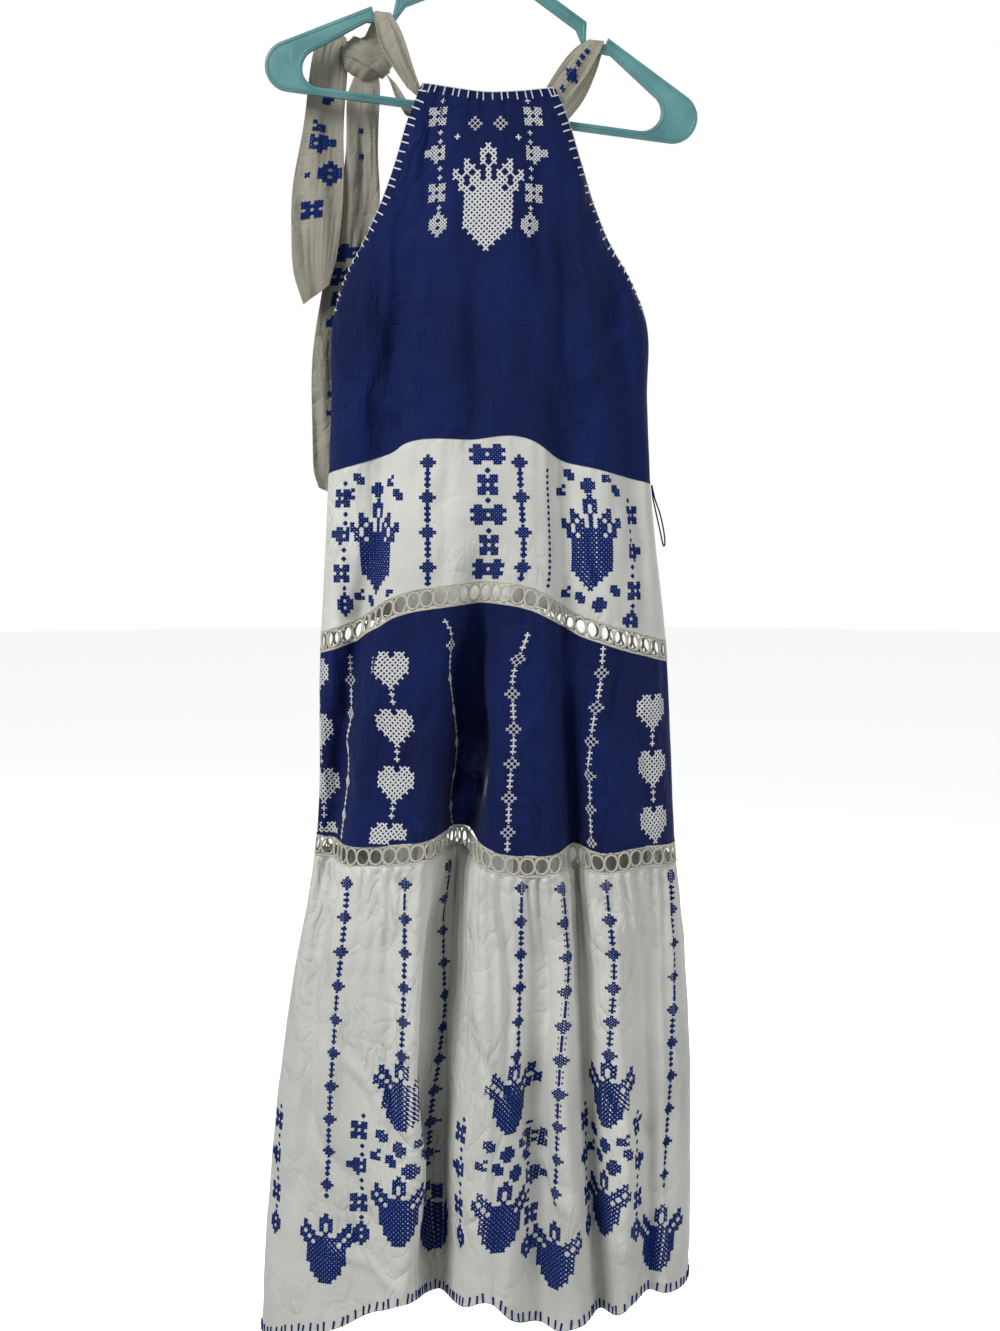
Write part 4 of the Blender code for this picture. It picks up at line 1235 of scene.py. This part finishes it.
def flank(start, way=1):  # a column of stars and arms; they reach outwards from its line
    singles = (0.000, 0.031, 0.040, 0.067, 0.076, 0.106)
    shaped = (
        ("star", -0.004 * way, 0.008), ("arm" if way > 0 else "armRight", -0.006 * way, 0.046),
        ("star", -0.003 * way, 0.084), ("drop", 0.0, 0.112),
    )
    parts = sorted([("single", 0.0, at) for at in singles] + list(shaped), key=lambda part: part[2])
    return moved(parts, 0.0, start)


def moved(parts, dx, dz):
    return [(chart, a + dx, b + dz) for chart, a, b in parts]


smallRound = [  # the bits strewn between two fruits or round one
    ("bit", -0.021, 0.000), ("leaf", 0.019, 0.002), ("square", -0.001, 0.009), ("leaf", -0.027, 0.019),
    ("bit", 0.026, 0.018), ("bit", -0.010, 0.025), ("square", 0.011, 0.030), ("leaf", 0.030, 0.036),
    ("bit", -0.025, 0.040),
]


layouts = {
    "chest": [
        ("tallFruit", 0.0, 0.034), ("openDiamond", -0.0125, 0.008), ("openDiamond", 0.0125, 0.008),
        ("single", -0.030, 0.026), ("single", 0.030, 0.026),
    ],
    "chain": chain(0.004, 0.60),
    "paleChain": [("single", 0.0, s) for s in (0.001, 0.007, 0.013)] + chain(0.020, 0.60, "openDiamond"),
    "fineChain": chain(0.004, 0.60, "single", 0.0060, ()),
    "hearts": [
        (chart, 0.0, at + i * 0.0575)
        for i in range(4) for chart, at in (("heart", 0.0), ("single", 0.0400), ("single", 0.0475))
    ],
    "stars": [
        ("wideStar", 0.0, 0.0000), ("single", 0.0, 0.0235), ("star", 0.0, 0.0300),
        ("single", 0.0, 0.0530), ("wideStar", 0.0, 0.0595), ("single", 0.0, 0.0830),
        ("star", 0.0, 0.0895), ("wideStar", 0.0, 0.1135),
    ],
    "armsLeft": flank(0.006),
    "armsRight": flank(0.006, -1),
    "fruit": [("tallFruit", 0.0, 0.022)] + moved(smallRound[:3], 0.0, -0.003)
        + [("leaf", -0.031, 0.012), ("bit", 0.030, 0.013)] + moved(smallRound[3:7], 0.0, 0.095),
    "lowFruit": chain(0.004, 0.335) + [("lowFruit", 0.0, 0.352)],
    "twoFruits": chain(0.004, 0.180) + [("lowFruit", 0.0, 0.188), ("lowFruit", 0.0, 0.308)]
        + moved(smallRound, 0.0, 0.264)[:7],
    "sideArms": flank(0.0),
    "sideArmsRight": flank(0.0, -1),
}

# each layout's cell size in metres
layoutCells = {
    "chest": 0.00410, "sideArms": 0.00360, "sideArmsRight": 0.00360, "armsLeft": 0.00360,
    "fruit": 0.00372, "chain": 0.00460, "stars": 0.00400, "fineChain": 0.00300,
    "armsRight": 0.00360, "hearts": 0.00430, "paleChain": 0.00430, "lowFruit": 0.00400,
    "twoFruits": 0.00400,
}

# the columns of each panel: share and height where one starts, where it ends, and its layout
columns = {
    ("bodice", front): (
        (0.500, -0.2180, 0.505, -0.346, "chest"),
        (0.215, -0.2080, 0.330, -0.346, "sideArms"),
        (0.755, -0.2080, 0.655, -0.346, "sideArmsRight"),
    ),
    ("bodice", back): (
        (0.500, -0.2300, 0.500, -0.358, "chest"),
        (0.225, -0.2200, 0.345, -0.358, "sideArms"),
        (0.770, -0.2200, 0.650, -0.358, "sideArmsRight"),
    ),
    ("tier_1", front): (
        (0.100, -0.5780, 0.104, -0.710, "armsLeft"),
        (0.186, -0.5790, 0.200, -0.710, "fruit"),
        (0.337, -0.5540, 0.340, -0.690, "chain"),
        (0.484, -0.5480, 0.486, -0.690, "stars"),
        (0.562, -0.5540, 0.572, -0.690, "chain"),
        (0.634, -0.5680, 0.636, -0.700, "fineChain"),
        (0.772, -0.5750, 0.767, -0.700, "fruit"),
        (0.893, -0.5950, 0.862, -0.730, "armsRight"),
    ),
    ("tier_1", back): (
        (0.080, -0.5830, 0.090, -0.720, "armsLeft"),
        (0.180, -0.5800, 0.190, -0.720, "fruit"),
        (0.310, -0.5700, 0.315, -0.720, "chain"),
        (0.430, -0.5650, 0.430, -0.720, "stars"),
        (0.550, -0.5650, 0.550, -0.720, "chain"),
        (0.680, -0.5660, 0.675, -0.720, "fruit"),
        (0.800, -0.5700, 0.790, -0.720, "chain"),
        (0.920, -0.5900, 0.910, -0.720, "armsRight"),
    ),
    ("tier_2", front): (
        (0.020, -0.7650, 0.026, -0.950, "hearts"),
        (0.110, -0.7600, 0.088, -0.950, "paleChain"),
        (0.250, -0.7540, 0.196, -0.950, "hearts"),
        (0.374, -0.7200, 0.386, -0.950, "paleChain"),
        (0.600, -0.7330, 0.575, -0.950, "paleChain"),
        (0.802, -0.7480, 0.786, -0.950, "paleChain"),
        (0.917, -0.8000, 0.912, -0.950, "hearts"),
    ),
    ("tier_2", back): (
        (0.060, -0.7700, 0.060, -0.950, "hearts"),
        (0.165, -0.7500, 0.160, -0.950, "paleChain"),
        (0.270, -0.7600, 0.270, -0.950, "hearts"),
        (0.375, -0.7420, 0.370, -0.950, "paleChain"),
        (0.480, -0.7700, 0.475, -0.950, "hearts"),
        (0.585, -0.7420, 0.580, -0.950, "paleChain"),
        (0.695, -0.7560, 0.690, -0.950, "hearts"),
        (0.800, -0.7550, 0.800, -0.950, "paleChain"),
        (0.915, -0.7800, 0.910, -0.950, "hearts"),
    ),
    ("tier_3", front): (
        (0.048, -1.2340, 0.066, -1.420, "sideArms"),
        (0.128, -0.9800, 0.162, -1.420, "lowFruit"),
        (0.196, -1.2260, 0.214, -1.420, "sideArms"),
        (0.231, -0.9760, 0.274, -1.420, "twoFruits"),
        (0.312, -1.2200, 0.326, -1.420, "sideArmsRight"),
        (0.362, -0.9700, 0.390, -1.420, "lowFruit"),
        (0.492, -1.2260, 0.488, -1.420, "sideArms"),
        (0.598, -0.9780, 0.548, -1.420, "twoFruits"),
        (0.612, -1.2360, 0.602, -1.420, "sideArmsRight"),
        (0.662, -0.9800, 0.654, -1.420, "lowFruit"),
        (0.735, -1.2220, 0.726, -1.420, "sideArms"),
        (0.810, -0.9790, 0.774, -1.420, "twoFruits"),
        (0.846, -1.2260, 0.838, -1.420, "sideArmsRight"),
        (0.951, -0.9800, 0.888, -1.420, "lowFruit"),
    ),
    ("tier_3", back): (
        (0.060, -0.9800, 0.070, -1.420, "twoFruits"),
        (0.132, -1.2260, 0.136, -1.420, "sideArmsRight"),
        (0.185, -0.9800, 0.195, -1.420, "lowFruit"),
        (0.262, -1.2260, 0.264, -1.420, "sideArms"),
        (0.325, -0.9800, 0.330, -1.420, "twoFruits"),
        (0.392, -1.2260, 0.396, -1.420, "sideArmsRight"),
        (0.450, -0.9800, 0.460, -1.420, "lowFruit"),
        (0.520, -1.2260, 0.520, -1.420, "sideArms"),
        (0.590, -0.9800, 0.585, -1.420, "twoFruits"),
        (0.652, -1.2260, 0.650, -1.420, "sideArmsRight"),
        (0.715, -0.9800, 0.710, -1.420, "lowFruit"),
        (0.785, -1.2260, 0.780, -1.420, "sideArms"),
        (0.855, -0.9800, 0.845, -1.420, "twoFruits"),
        (0.960, -0.9800, 0.945, -1.420, "lowFruit"),
    ),
}
stitchLook = dict(
    darkBar=0.290, paleBar=0.165, lift=0.00045, sashLift=0.0011, proud=0.00050, second=0.00016,
    reach=0.48, keepIn=0.0035, keepSide=0.008, sashReach=0.44,
)


def crossBars(places, normals, bar):
    # places is cells by 4 corners by xyz, going round; two ridged bars for each cell
    points = []
    for n, (a, b) in enumerate(((0, 2), (1, 3))):
        start, end = places[:, a], places[:, b]
        along = end - start
        along /= np.linalg.norm(along, axis=1)[:, None]
        aside = np.cross(normals, along)
        aside *= bar / np.linalg.norm(aside, axis=1)[:, None]
        high = normals * (stitchLook["proud"] + stitchLook["second"] * n)
        inset = along * bar
        foot = [start - aside, start + aside, end + aside, end - aside]
        points.append(np.stack([*foot, start + inset + high, end - inset + high], axis=1))
    count = len(places)
    points = np.concatenate(points).reshape(-1, 3)
    one = ((0, 3, 2, 1), (0, 4, 5, 3), (1, 2, 5, 4), (0, 1, 4), (2, 3, 5))
    faces = [tuple(v + 6 * i for v in face) for i in range(2 * count) for face in one]
    return points, faces


def columnCells(side, u0, z0, u1, z1, layout):
    # every stitch of a column: its share and height, its size, and whether it stands upright
    stitches = []
    for chart, dx, dz in layouts[layout]:
        size = layoutCells[layout] * cellSizes.get(chart, 1.0)
        for a, b in cellsOf(chart):
            z = z0 - dz - (b + 0.5) * size
            u = u0 + (u1 - u0) * min((z0 - z) / (z0 - z1), 1.0)
            u += (dx + a * size) / float(cloths[side].width(z))
            stitches.append((u, z, size, chart == "single"))
    return [np.array(values) for values in zip(*stitches)]


slantedCorners = ((-1, -1), (1, -1), (1, 1), (-1, 1))
straightCorners = ((0, -1.2), (1.2, 0), (0, 1.2), (-1.2, 0))


def panelPlaces(kind, side, us, zs, cells, upright):
    topZ, lowZ = panelEdges(kind, side, us)
    inside = (zs < topZ - stitchLook["keepIn"]) & (zs > lowZ + stitchLook["keepIn"])
    inside &= (us > stitchLook["keepSide"]) & (us < 1 - stitchLook["keepSide"])
    us, zs, cells, upright = us[inside], zs[inside], cells[inside], upright[inside]
    reach = cells * stitchLook["reach"]
    aside = reach / cloths[side].width(zs)
    corners = []
    for slanted, straight in zip(slantedCorners, straightCorners):
        da, db = (np.where(upright, straight[k], slanted[k]) for k in (0, 1))
        place, _ = onPanel(kind, side, us + da * aside, zs + db * reach, stitchLook["lift"])
        corners.append(place)
    corners = np.stack(corners, axis=1)
    normal = np.cross(corners[:, 2] - corners[:, 0], corners[:, 3] - corners[:, 1])
    normal *= np.sign(np.sum(normal * onPanel(kind, side, us, zs)[1], axis=1))[:, None]
    return corners, normal / np.linalg.norm(normal, axis=1)[:, None], cells


def makeEmbroidery(kind, side):
    onWhite = panels[kind]["finish"] == "whiteCotton"
    bar = stitchLook["darkBar" if onWhite else "paleBar"]
    shapes = []
    for column in columns[kind, side]:
        corners, normals, cells = panelPlaces(kind, side, *columnCells(side, *column))
        shapes.append(crossBars(corners, normals, bar * cells[:, None]))
    piece = meshPiece(f"{kind}_{sideNames[side]}_embroidery", *merged(shapes))
    return keep(piece, "navyThread" if onWhite else "whiteThread")


# the bits on each strip: metres along it, share across it, chart and cell size
sashBits = {
    "sash_right": (
        (0.026, 0.10, "single", 0.0036), (0.036, 0.06, "diamond", 0.0040),
        (0.054, 0.00, "single", 0.0036), (0.062, -0.02, "single", 0.0036),
        (0.070, 0.00, "single", 0.0036),
    ),
    "sash_tail_short": (
        (0.070, -0.06, "bit", 0.0036), (0.098, 0.10, "leaf", 0.0036),
        (0.112, -0.02, "arm", 0.0036), (0.138, -0.22, "drop", 0.0036),
        (0.150, 0.24, "single", 0.0036), (0.178, 0.10, "star", 0.0034),
    ),
    "sash_tail_long": (
        (0.060, 0.05, "single", 0.0036), (0.085, 0.02, "single", 0.0036),
        (0.175, -0.10, "wideStar", 0.0036), (0.200, 0.05, "star", 0.0036),
        (0.225, -0.12, "arm", 0.0036), (0.250, 0.08, "bit", 0.0036),
        (0.330, 0.00, "single", 0.0036), (0.350, 0.02, "single", 0.0036),
    ),
}


def sashStitches(name, along, across, chart, cell):
    wide = float(np.mean(strips[name][0]["width"]))
    size = cell * cellSizes.get(chart, 1.0)
    ab = np.array(cellsOf(chart))
    ab = ab[np.abs(across * wide + ab[:, 0] * size) < wide * stitchLook["sashReach"]]
    corners = []
    for da, db in slantedCorners:
        v = across + (ab[:, 0] + da * stitchLook["reach"]) * size / wide
        run = along + (ab[:, 1] + db * stitchLook["reach"]) * size
        place, out = onStrip(name, run, v, stitchLook["sashLift"])
        corners.append(place)
    bar = np.full((len(ab), 1), size * stitchLook["darkBar"])
    return crossBars(np.stack(corners, axis=1), out, bar)


def makeSashEmbroidery():
    shapes = [sashStitches(name, *bit) for name, bits in sashBits.items() for bit in bits]
    return keep(meshPiece("sash_embroidery", *merged(shapes)), "navyThread")


makeSashEmbroidery()
for side in sideNames:
    for kind in panels:
        makeEmbroidery(kind, side)
print("scene: embroidery")


# side seams: a narrow rolled edge that joins front and back

seamLook = dict(thread=0.0007, topZ=-0.410, inside=0.0003, over=0.0005)


def makeSideSeams():
    for kind in panels:
        runs = []
        for right in (0.0, 1.0):
            top, low = panelEdges(kind, front, np.array([right]))
            start = seamLook["topZ"] if kind == "bodice" else float(top[0]) - seamLook["over"]
            z = np.linspace(start, float(low[0]) + seamLook["over"], 40)
            x, y, _, _ = cloths[front].at(np.full_like(z, right), z)
            inward = seamLook["inside"] * (1 if right == 0.0 else -1)
            runs.append(np.stack([x + inward, 0 * y, z], axis=-1))
        piece = threadPiece(f"{kind}_side_seams", runs, seamLook["thread"], 6)
        setUv(piece, np.zeros((len(piece.data.vertices), 2)))
        keep(piece, panels[kind]["finish"])


makeSideSeams()
print("scene: side seams")


# the thread loop at the right end of the waist seam

loopPoints = table(
    "x y z",
    (0.1680, -0.0030, -0.5870),
    (0.1698, -0.0034, -0.6010),
    (0.1733, -0.0036, -0.6170),
    (0.1773, -0.0034, -0.6340),
    (0.1799, -0.0028, -0.6455),
    (0.1815, -0.0010, -0.6495),
    (0.1829, 0.0010, -0.6470),
    (0.1819, 0.0024, -0.6350),
    (0.1779, 0.0034, -0.6170),
    (0.1723, 0.0036, -0.6010),
    (0.1690, 0.0030, -0.5870),
)
loopThread = 0.0016


def makeLoop():
    knots = np.arange(len(loopPoints["x"]), dtype=float)
    at = np.linspace(0, knots[-1], 41)
    route = np.stack([softCurve(at, knots, loopPoints[k]) for k in "xyz"], axis=1)
    loop = threadPiece("side_loop_thread", [route], loopThread / 2, 10)
    keep(loop, "navyCord", "side_loop")


makeLoop()
print("scene: loop")


# the hanger: the same outlines as its solid, with rounded rims and a raised edge

hangerLook = dict(
    thick=0.006, frameX=0.0187, tilt=math.radians(7.5), round=0.0014,
    apexZ=-0.0608, railAngle=28.1, railWide=0.0142,
    rim=0.0011, rimIn=0.0030, rimSunk=0.0003,
)


def arc(centre, radius, start, end, steps):
    angles = np.radians(np.linspace(start, end, steps))
    return [(centre[0] + radius * math.cos(a), centre[1] + radius * math.sin(a)) for a in angles]


def rail(x, below=0.0):  # a point on the sloping top edge, or below it
    slope = math.tan(math.radians(hangerLook["railAngle"]))
    return x, hangerLook["apexZ"] - slope * x - below


def hangerOutlines():
    depth = hangerLook["railWide"]
    square = 90.0 - hangerLook["railAngle"]
    outer = [(0.0065, hangerLook["apexZ"] + 0.005), rail(0.011), rail(0.0960)]
    outer += [(0.0980, -0.1310), (0.1170, -0.1310)]
    outer += [rail(0.1195), *arc((0.1945, -0.1930), 0.025, square, -90.0, 24)]
    inner = [*arc((0.1630, -0.1910), 0.019, -90.0, square, 18), rail(0.1235, depth)]
    inner += [(0.1150, -0.1405), (0.0970, -0.1395), rail(0.0860, depth), rail(0.010, depth)]
    both = [half + [(-x, z) for x, z in reversed(half)] for half in (outer, inner)]
    return [[(x + hangerLook["frameX"], z) for x, z in outline] for outline in both]


def hang(obj):  # stands the flat hanger up and tilts it about the hook's inside top
    activate(obj)
    obj.rotation_euler = (math.radians(90), 0, 0)
    bpy.ops.object.transform_apply(location=True, rotation=True, scale=True)
    obj.rotation_euler = (0, hangerLook["tilt"], 0)
    bpy.ops.object.transform_apply(location=True, rotation=True, scale=True)
    return obj


def makeHanger():
    flat = bpy.data.curves.new("hanger_plate", "CURVE")
    flat.dimensions, flat.fill_mode = "2D", "BOTH"
    flat.extrude = hangerLook["thick"] / 2 - hangerLook["round"]
    flat.bevel_depth = hangerLook["round"]
    flat.bevel_resolution = 2
    flat.offset = -hangerLook["round"]
    for outline in hangerOutlines():
        spline = flat.splines.new("POLY")
        spline.points.add(len(outline) - 1)
        for point, (x, z) in zip(spline.points, outline):
            point.co = (x, z, 0, 1)
        spline.use_cyclic_u = True
    plate = bpy.data.objects.new("hanger_plate", flat)
    bpy.context.scene.collection.objects.link(plate)
    activate(plate)
    bpy.ops.object.convert(target="MESH")
    plate = hang(bpy.context.object)
    editAll(plate, bpy.ops.mesh.remove_doubles, threshold=0.00001)
    return smooth(keep(outward(plate), "tealPlastic", "hanger_frame"), 35)


def makeRims():  # a raised bead that follows the outer and the inner edge on both faces
    runs = []
    tilt = hangerLook["tilt"]
    half = hangerLook["thick"] / 2 - hangerLook["rimSunk"]
    for outline, inset in zip(hangerOutlines(), (hangerLook["rimIn"], -hangerLook["rimIn"])):
        flat = np.array(outline)
        closed = np.concatenate([flat, flat[:1]])
        run = runAlong(closed)
        at = np.linspace(0, run[-1], 420)
        line = np.stack([np.interp(at, run, closed[:, k]) for k in (0, 1)], axis=1)
        way = np.gradient(line, axis=0)
        way /= np.linalg.norm(way, axis=1)[:, None] + 1e-9
        for _ in range(6):
            way = (np.roll(way, 1, 0) + way + np.roll(way, -1, 0)) / 3
        side = np.stack([way[:, 1], -way[:, 0]], axis=1)
        line = line + side * (inset if signedArea(line) < 0 else -inset)
        for y in (-half, half):
            x = line[:, 0] * math.cos(tilt) + line[:, 1] * math.sin(tilt)
            z = -line[:, 0] * math.sin(tilt) + line[:, 1] * math.cos(tilt)
            runs.append(np.stack([x, np.full_like(x, y), z], axis=1))
    return keep(threadPiece("hanger_rims", runs, hangerLook["rim"], 6), "tealPlastic")


def signedArea(line):
    x, z = line[:, 0], line[:, 1]
    return 0.5 * float(np.sum(x * np.roll(z, -1) - np.roll(x, -1) * z))


makeHanger()
makeRims()
giveFinish(bpy.data.objects["hanger_hook"], "tealPlastic")
print("scene: hanger")


# camera, light and floor

view = dict(place=(0.012, -1.6, -0.62), pitch=5.5, focal=1540.0, frameHigh=1331)


def makeCamera():
    camera = bpy.data.cameras.new("photo_camera")
    camera.sensor_width = 36.0
    camera.lens = 36.0 * view["focal"] / view["frameHigh"]
    camera.clip_start = 0.01
    holder = bpy.data.objects.new("photo_camera", camera)
    holder.location = view["place"]
    holder.rotation_euler = (math.radians(90 - view["pitch"]), 0, 0)
    bpy.context.scene.collection.objects.link(holder)
    bpy.context.scene.camera = holder


lamps = {
    "key": dict(place=(-1.9, -1.9, 1.1), size=1.3, power=82),
    "fill": dict(place=(2.1, -1.6, -0.5), size=2.0, power=26),
    "behind": dict(place=(1.2, 2.2, 0.9), size=1.6, power=62),
}

aimHeight = -0.75
insideLamps = ((-0.66, 0.16), (-0.90, 0.18), (-1.10, 0.18))  # height and power of each
insideLampSize = 0.02


def makeLamps():
    for z, power in insideLamps:  # daylight that comes through the thin cloth
        glow = bpy.data.lights.new("inside", "POINT")
        glow.energy, glow.shadow_soft_size = power, insideLampSize
        holder = bpy.data.objects.new("inside", glow)
        holder.location = (0.0, 0.0, z)
        holder.visible_camera = False
        bpy.context.scene.collection.objects.link(holder)
    for name, lamp in lamps.items():
        light = bpy.data.lights.new(name, "AREA")
        light.energy, light.size = lamp["power"], lamp["size"]
        holder = bpy.data.objects.new(name, light)
        holder.location = lamp["place"]
        aim = Vector((0.0, 0.0, aimHeight)) - Vector(lamp["place"])
        holder.rotation_euler = aim.to_track_quat("-Z", "Y").to_euler()
        bpy.context.scene.collection.objects.link(holder)


room = dict(
    seen=1.0, glow=0.62, lit=0.34, tint=(0.97, 0.985, 1.0, 1.0), white=(1.0, 1.0, 1.0, 1.0),
    floor=(0.93, 0.93, 0.925, 1.0), floorZ=-1.72, floorWide=14.0, floorRough=0.9,
)


def makeSurroundings():
    world = bpy.data.worlds.new("pale_room")
    bpy.context.scene.world = world
    world.use_nodes = True
    links, nodes = world.node_tree.links, world.node_tree.nodes
    seen = nodes["Background"]
    seen.inputs["Color"].default_value = room["white"]
    seen.inputs["Strength"].default_value = room["seen"]
    lit = nodes.new("ShaderNodeBackground")
    lit.inputs["Color"].default_value = room["tint"]
    lit.inputs["Strength"].default_value = room["lit"]
    choose = nodes.new("ShaderNodeMixShader")
    links.new(nodes.new("ShaderNodeLightPath").outputs["Is Camera Ray"], choose.inputs["Fac"])
    links.new(lit.outputs[0], choose.inputs[1])
    links.new(seen.outputs[0], choose.inputs[2])
    links.new(choose.outputs[0], nodes["World Output"].inputs["Surface"])
    bpy.ops.mesh.primitive_circle_add(
        vertices=96, radius=room["floorWide"], fill_type="NGON", location=(0, 0, room["floorZ"])
    )
    floor = bpy.context.object
    floor.name = "floor"
    activate(floor)
    bpy.ops.object.transform_apply(location=True)
    pale, _, shader = newFinish("floorPaint")
    shader["Base Color"].default_value = room["floor"]
    shader["Roughness"].default_value = room["floorRough"]
    shader["Emission Color"].default_value = room["white"]
    shader["Emission Strength"].default_value = room["glow"]
    floor.data.materials.append(pale)
    floor.visible_diffuse = False


bpy.context.scene.view_settings.view_transform = "Standard"
makeCamera()
makeLamps()
makeSurroundings()
